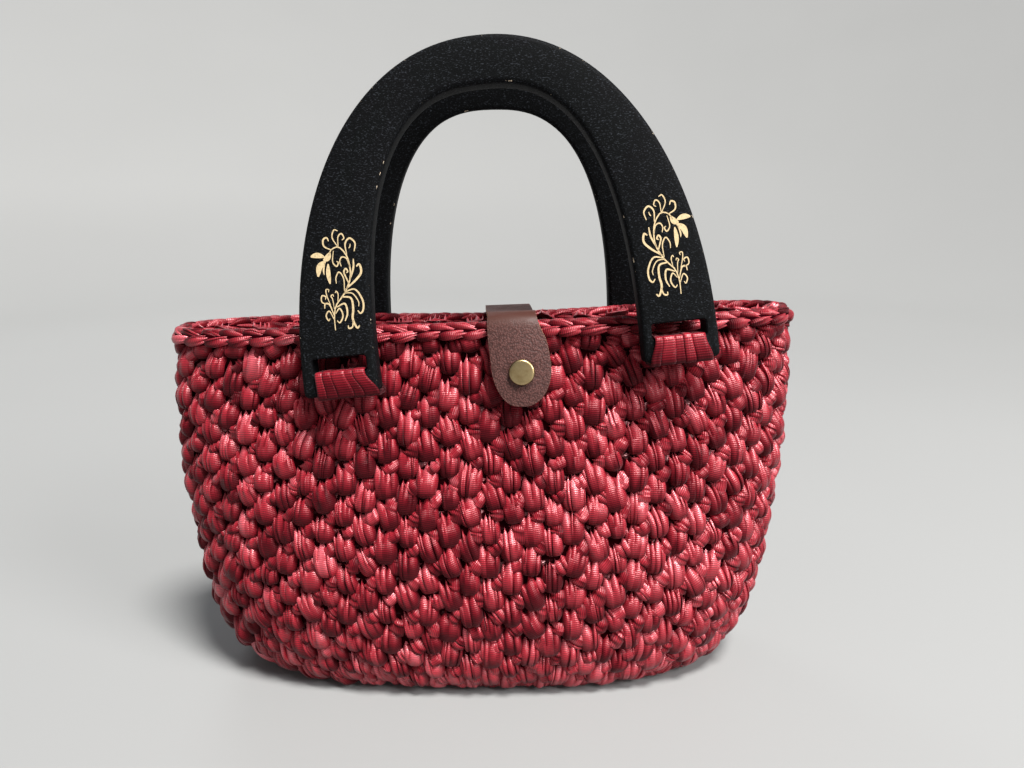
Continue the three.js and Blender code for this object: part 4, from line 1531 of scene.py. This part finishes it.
def tab_stitches(sizes):
    """Two rows of plain stitches that sew the tab's end to the back wall."""
    tree = node_tree("leather_tab")
    points = node_points("leather_tab")
    back = points[points[:, 1] > 0]
    low = back[:, 2].min()
    end = back[back[:, 2] < low + BACK_END]
    middle, half = (end[:, 0].min() + end[:, 0].max()) / 2, np.ptp(end[:, 0]) / 2
    step = sizes.stitch_length + sizes.stitch_gap
    count = int((2 * half - SEAM_MARGIN) / step)
    rings, faces = [], []
    for row in SEAM_ROWS:
        for k in range(count):
            x = middle + (k - (count - 1) / 2) * step
            left, right = (x + side * sizes.stitch_length for side in (-0.5, 0.5))
            first = cast(tree, (left, FAR, low + row), (0, -1, 0))[0]
            second, normal = cast(tree, (right, FAR, low + row), (0, -1, 0))
            stitch = (THREAD_STATIONS, THREAD_SIDES, len(rings) * THREAD_SIDES)
            faces += end_caps(*stitch) + ring_faces(*stitch)
            rings += thread_stitch(first, second, normal, sizes.thread / 2)
    mesh = new_mesh("tab_stitches", np.concatenate(rings), faces)
    face_outwards(mesh)
    shade_smooth(mesh)
    return mesh


# Radius and rise of the cap's rings, as shares of the cap's own: a rolled base ring and a low dome.
CAP_ROLL = ((0.9, 0), (0.97, 0.06), (1, 0.2), (0.995, 0.45), (0.97, 0.68))
CAP_DOME = ((0.92, 0.84), (0.85, 0.91), (0.75, 0.93), (0.4, 0.98))


def cap_mesh(sides):
    """The snap's turned cap on the CAD cap's axis, closed by a point in its middle."""
    points = node_points("snap_cap")
    centre = (points.min(0) + points.max(0)) / 2
    axis = np.linalg.eigh(np.cov((points - points.mean(0)).T))[1][:, 0]
    axis *= -math.copysign(1, axis[1])
    heights = (points - centre) @ axis
    seat = centre + axis * heights.min()
    radius = np.linalg.norm(points - centre - np.outer(heights, axis), axis=1).max()
    right = unit(np.cross([0, 0, 1.0], axis))
    up = np.cross(axis, right)
    turns = circle_turns(sides)
    circle = np.outer(np.cos(turns), right) + np.outer(np.sin(turns), up)
    tall = axis * np.ptp(heights)
    rings = [seat + radius * out * circle + tall * rise for out, rise in CAP_ROLL + CAP_DOME]
    last = (len(rings) - 1) * sides
    faces = end_caps(len(rings), sides)[:1]
    faces += [(last + k, last + (k + 1) % sides, last + sides) for k in range(sides)]
    faces += ring_faces(len(rings), sides)
    mesh = new_mesh("snap_cap_dome", np.vstack([*rings, seat + tall]), faces)
    face_outwards(mesh)
    shade_sharp(mesh, SHARP)
    return mesh


class HANDBAG_OT_leather_tab(bpy.types.Operator):
    """Shape the leather tab, sew its back end and set the snap"""

    bl_idname = "handbag.leather_tab"
    bl_label = "Leather tab"

    def execute(self, context):
        sizes = context.scene.handbag.tab
        add_piece(tab_mesh(sizes), pebbled_leather, "leather_tab")
        add_piece(tab_stitches(sizes), twisted_thread, "leather_tab")
        add_piece(cap_mesh(sizes.cap_sides), aged_brass, "snap_cap")
        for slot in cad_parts["snap_post"].material_slots:
            slot.material = finish_of(aged_brass)
        return {"FINISHED"}


# Stage

BAG_MIDDLE = (0, 0, 0.11)
KEY_PLACE = (0.25, -0.32, 1.0)
KEY_TINT = (1.0, 0.98, 0.95)
FILL_PLACE = (0.75, -0.55, 0.7)
FILL_SIZE = 0.5
FILL_TINT = (1.0, 0.98, 0.97)
BACK_PLACE = (-0.5, 0.9, 0.9)
BACK_SIZE = 0.6
BACK_TINT = (0.97, 0.98, 1.0)
FLOOR_SIDES = 96
FLOOR_BEND_STEPS = 14


def add_lamp(name, kind, way, energy, tint):
    """A lamp of that kind that shines along a way."""
    light = bpy.data.lights.new(name, kind)
    light.energy = energy
    light.color = tint
    lamp = link(name, light)
    lamp.rotation_euler = way.to_track_quat("-Z", "Y").to_euler()
    return lamp


def area_light(name, place, size, power, tint):
    """A round soft lamp that shines on the bag's middle."""
    lamp = add_lamp(name, "AREA", Vector(BAG_MIDDLE) - Vector(place), power, tint)
    lamp.location = place
    lamp.data.shape = "DISK"
    lamp.data.size = size


def soft_sun(name, place, spread, strength, tint):
    """A light from far away in that direction, as large in the sky as its spread."""
    add_lamp(name, "SUN", -Vector(place), strength, tint).data.angle = spread


class HANDBAG_OT_stage(bpy.types.Operator):
    """Set the pale floor, the soft lights and the camera at the photograph's angle"""

    bl_idname = "handbag.stage"
    bl_label = "Stage"

    def execute(self, context):
        sizes = context.scene.handbag.stage
        self.floor(sizes)
        self.camera(context.scene, sizes)
        self.sky(context.scene, sizes, context.scene.handbag.colours)
        soft_sun("key", KEY_PLACE, sizes.key_spread, sizes.key_strength, KEY_TINT)
        area_light("fill", FILL_PLACE, FILL_SIZE, sizes.fill_power, FILL_TINT)
        area_light("back", BACK_PLACE, BACK_SIZE, sizes.back_power, BACK_TINT)
        return {"FINISHED"}

    def floor(self, sizes):
        """A round floor that bends up into a wall leaning back on all sides."""
        bend, flat = sizes.wall_bend, sizes.wall_distance
        profile = [(flat / 2, 0)]
        for turn in np.linspace(0, sizes.wall_slope, FLOOR_BEND_STEPS):
            profile.append((flat + bend * math.sin(turn), bend - bend * math.cos(turn)))
        foot, rise = profile[-1]
        profile.append((foot + (sizes.wall_height - rise) / math.tan(sizes.wall_slope), sizes.wall_height))
        turns = circle_turns(FLOOR_SIDES)
        points = [(r * math.cos(t), r * math.sin(t), z) for r, z in profile for t in turns]
        inwards = [face[::-1] for face in ring_faces(len(profile), FLOOR_SIDES)]
        mesh = new_mesh("floor", points, [tuple(range(FLOOR_SIDES)), *inwards])
        shade_smooth(mesh)
        mesh.materials.append(finish_of(matt_floor))
        link("floor", mesh)

    def camera(self, scene, sizes):
        data = bpy.data.cameras.new("camera")
        data.lens = sizes.lens
        data.sensor_width = 36
        data.clip_start = 0.01
        camera = link("camera", data)
        camera.location = (sizes.camera_x, -sizes.camera_back, sizes.camera_height)
        camera.rotation_euler = (math.pi / 2 - sizes.camera_pitch, 0, 0)
        scene.camera = camera
        scene.view_settings.view_transform = "Standard"  # full colours, as the photo has them

    def sky(self, scene, sizes, colours):
        world = bpy.data.worlds.new("soft_sky")
        world.use_nodes = True
        world.node_tree.nodes.clear()
        glow = {"Color": opaque(colours.sky), "Strength": sizes.sky_strength}
        light = add_node(world.node_tree, "Background", glow)
        add_node(world.node_tree, "OutputWorld", {"Surface": (light, "Background")})
        scene.world = world


class HANDBAG_PT_pieces(bpy.types.Panel):
    """The handbag's pieces, one button each"""

    bl_label = "Handbag"
    bl_idname = "HANDBAG_PT_pieces"
    bl_space_type = "VIEW_3D"
    bl_region_type = "UI"
    bl_category = "Handbag"

    def draw(self, context):
        for operator in OPERATORS:
            self.layout.operator(operator.bl_idname)


GROUPS = (
    StitchSettings,
    RimSettings,
    HandleSettings,
    LoopSettings,
    TabSettings,
    ColourSettings,
    StageSettings,
    HandbagSettings,
)
OPERATORS = (
    HANDBAG_OT_stage,
    HANDBAG_OT_crochet_wall,
    HANDBAG_OT_crochet_inside,
    HANDBAG_OT_chain_rim,
    HANDBAG_OT_wooden_handles,
    HANDBAG_OT_ribbon_loops,
    HANDBAG_OT_leather_tab,
)
CLASSES = (*GROUPS, *OPERATORS, HANDBAG_PT_pieces)


def register():
    for cls in CLASSES:
        bpy.utils.register_class(cls)
    bpy.types.Scene.handbag = PointerProperty(type=HandbagSettings)


def unregister():
    del bpy.types.Scene.handbag
    for cls in reversed(CLASSES):
        bpy.utils.unregister_class(cls)


def main():
    register()
    bpy.ops.handbag.stage()
    bpy.ops.handbag.crochet_wall()
    bpy.ops.handbag.crochet_inside()
    bpy.ops.handbag.chain_rim()
    bpy.ops.handbag.wooden_handles()
    bpy.ops.handbag.ribbon_loops()
    bpy.ops.handbag.leather_tab()


if __name__ == "__main__":
    main()
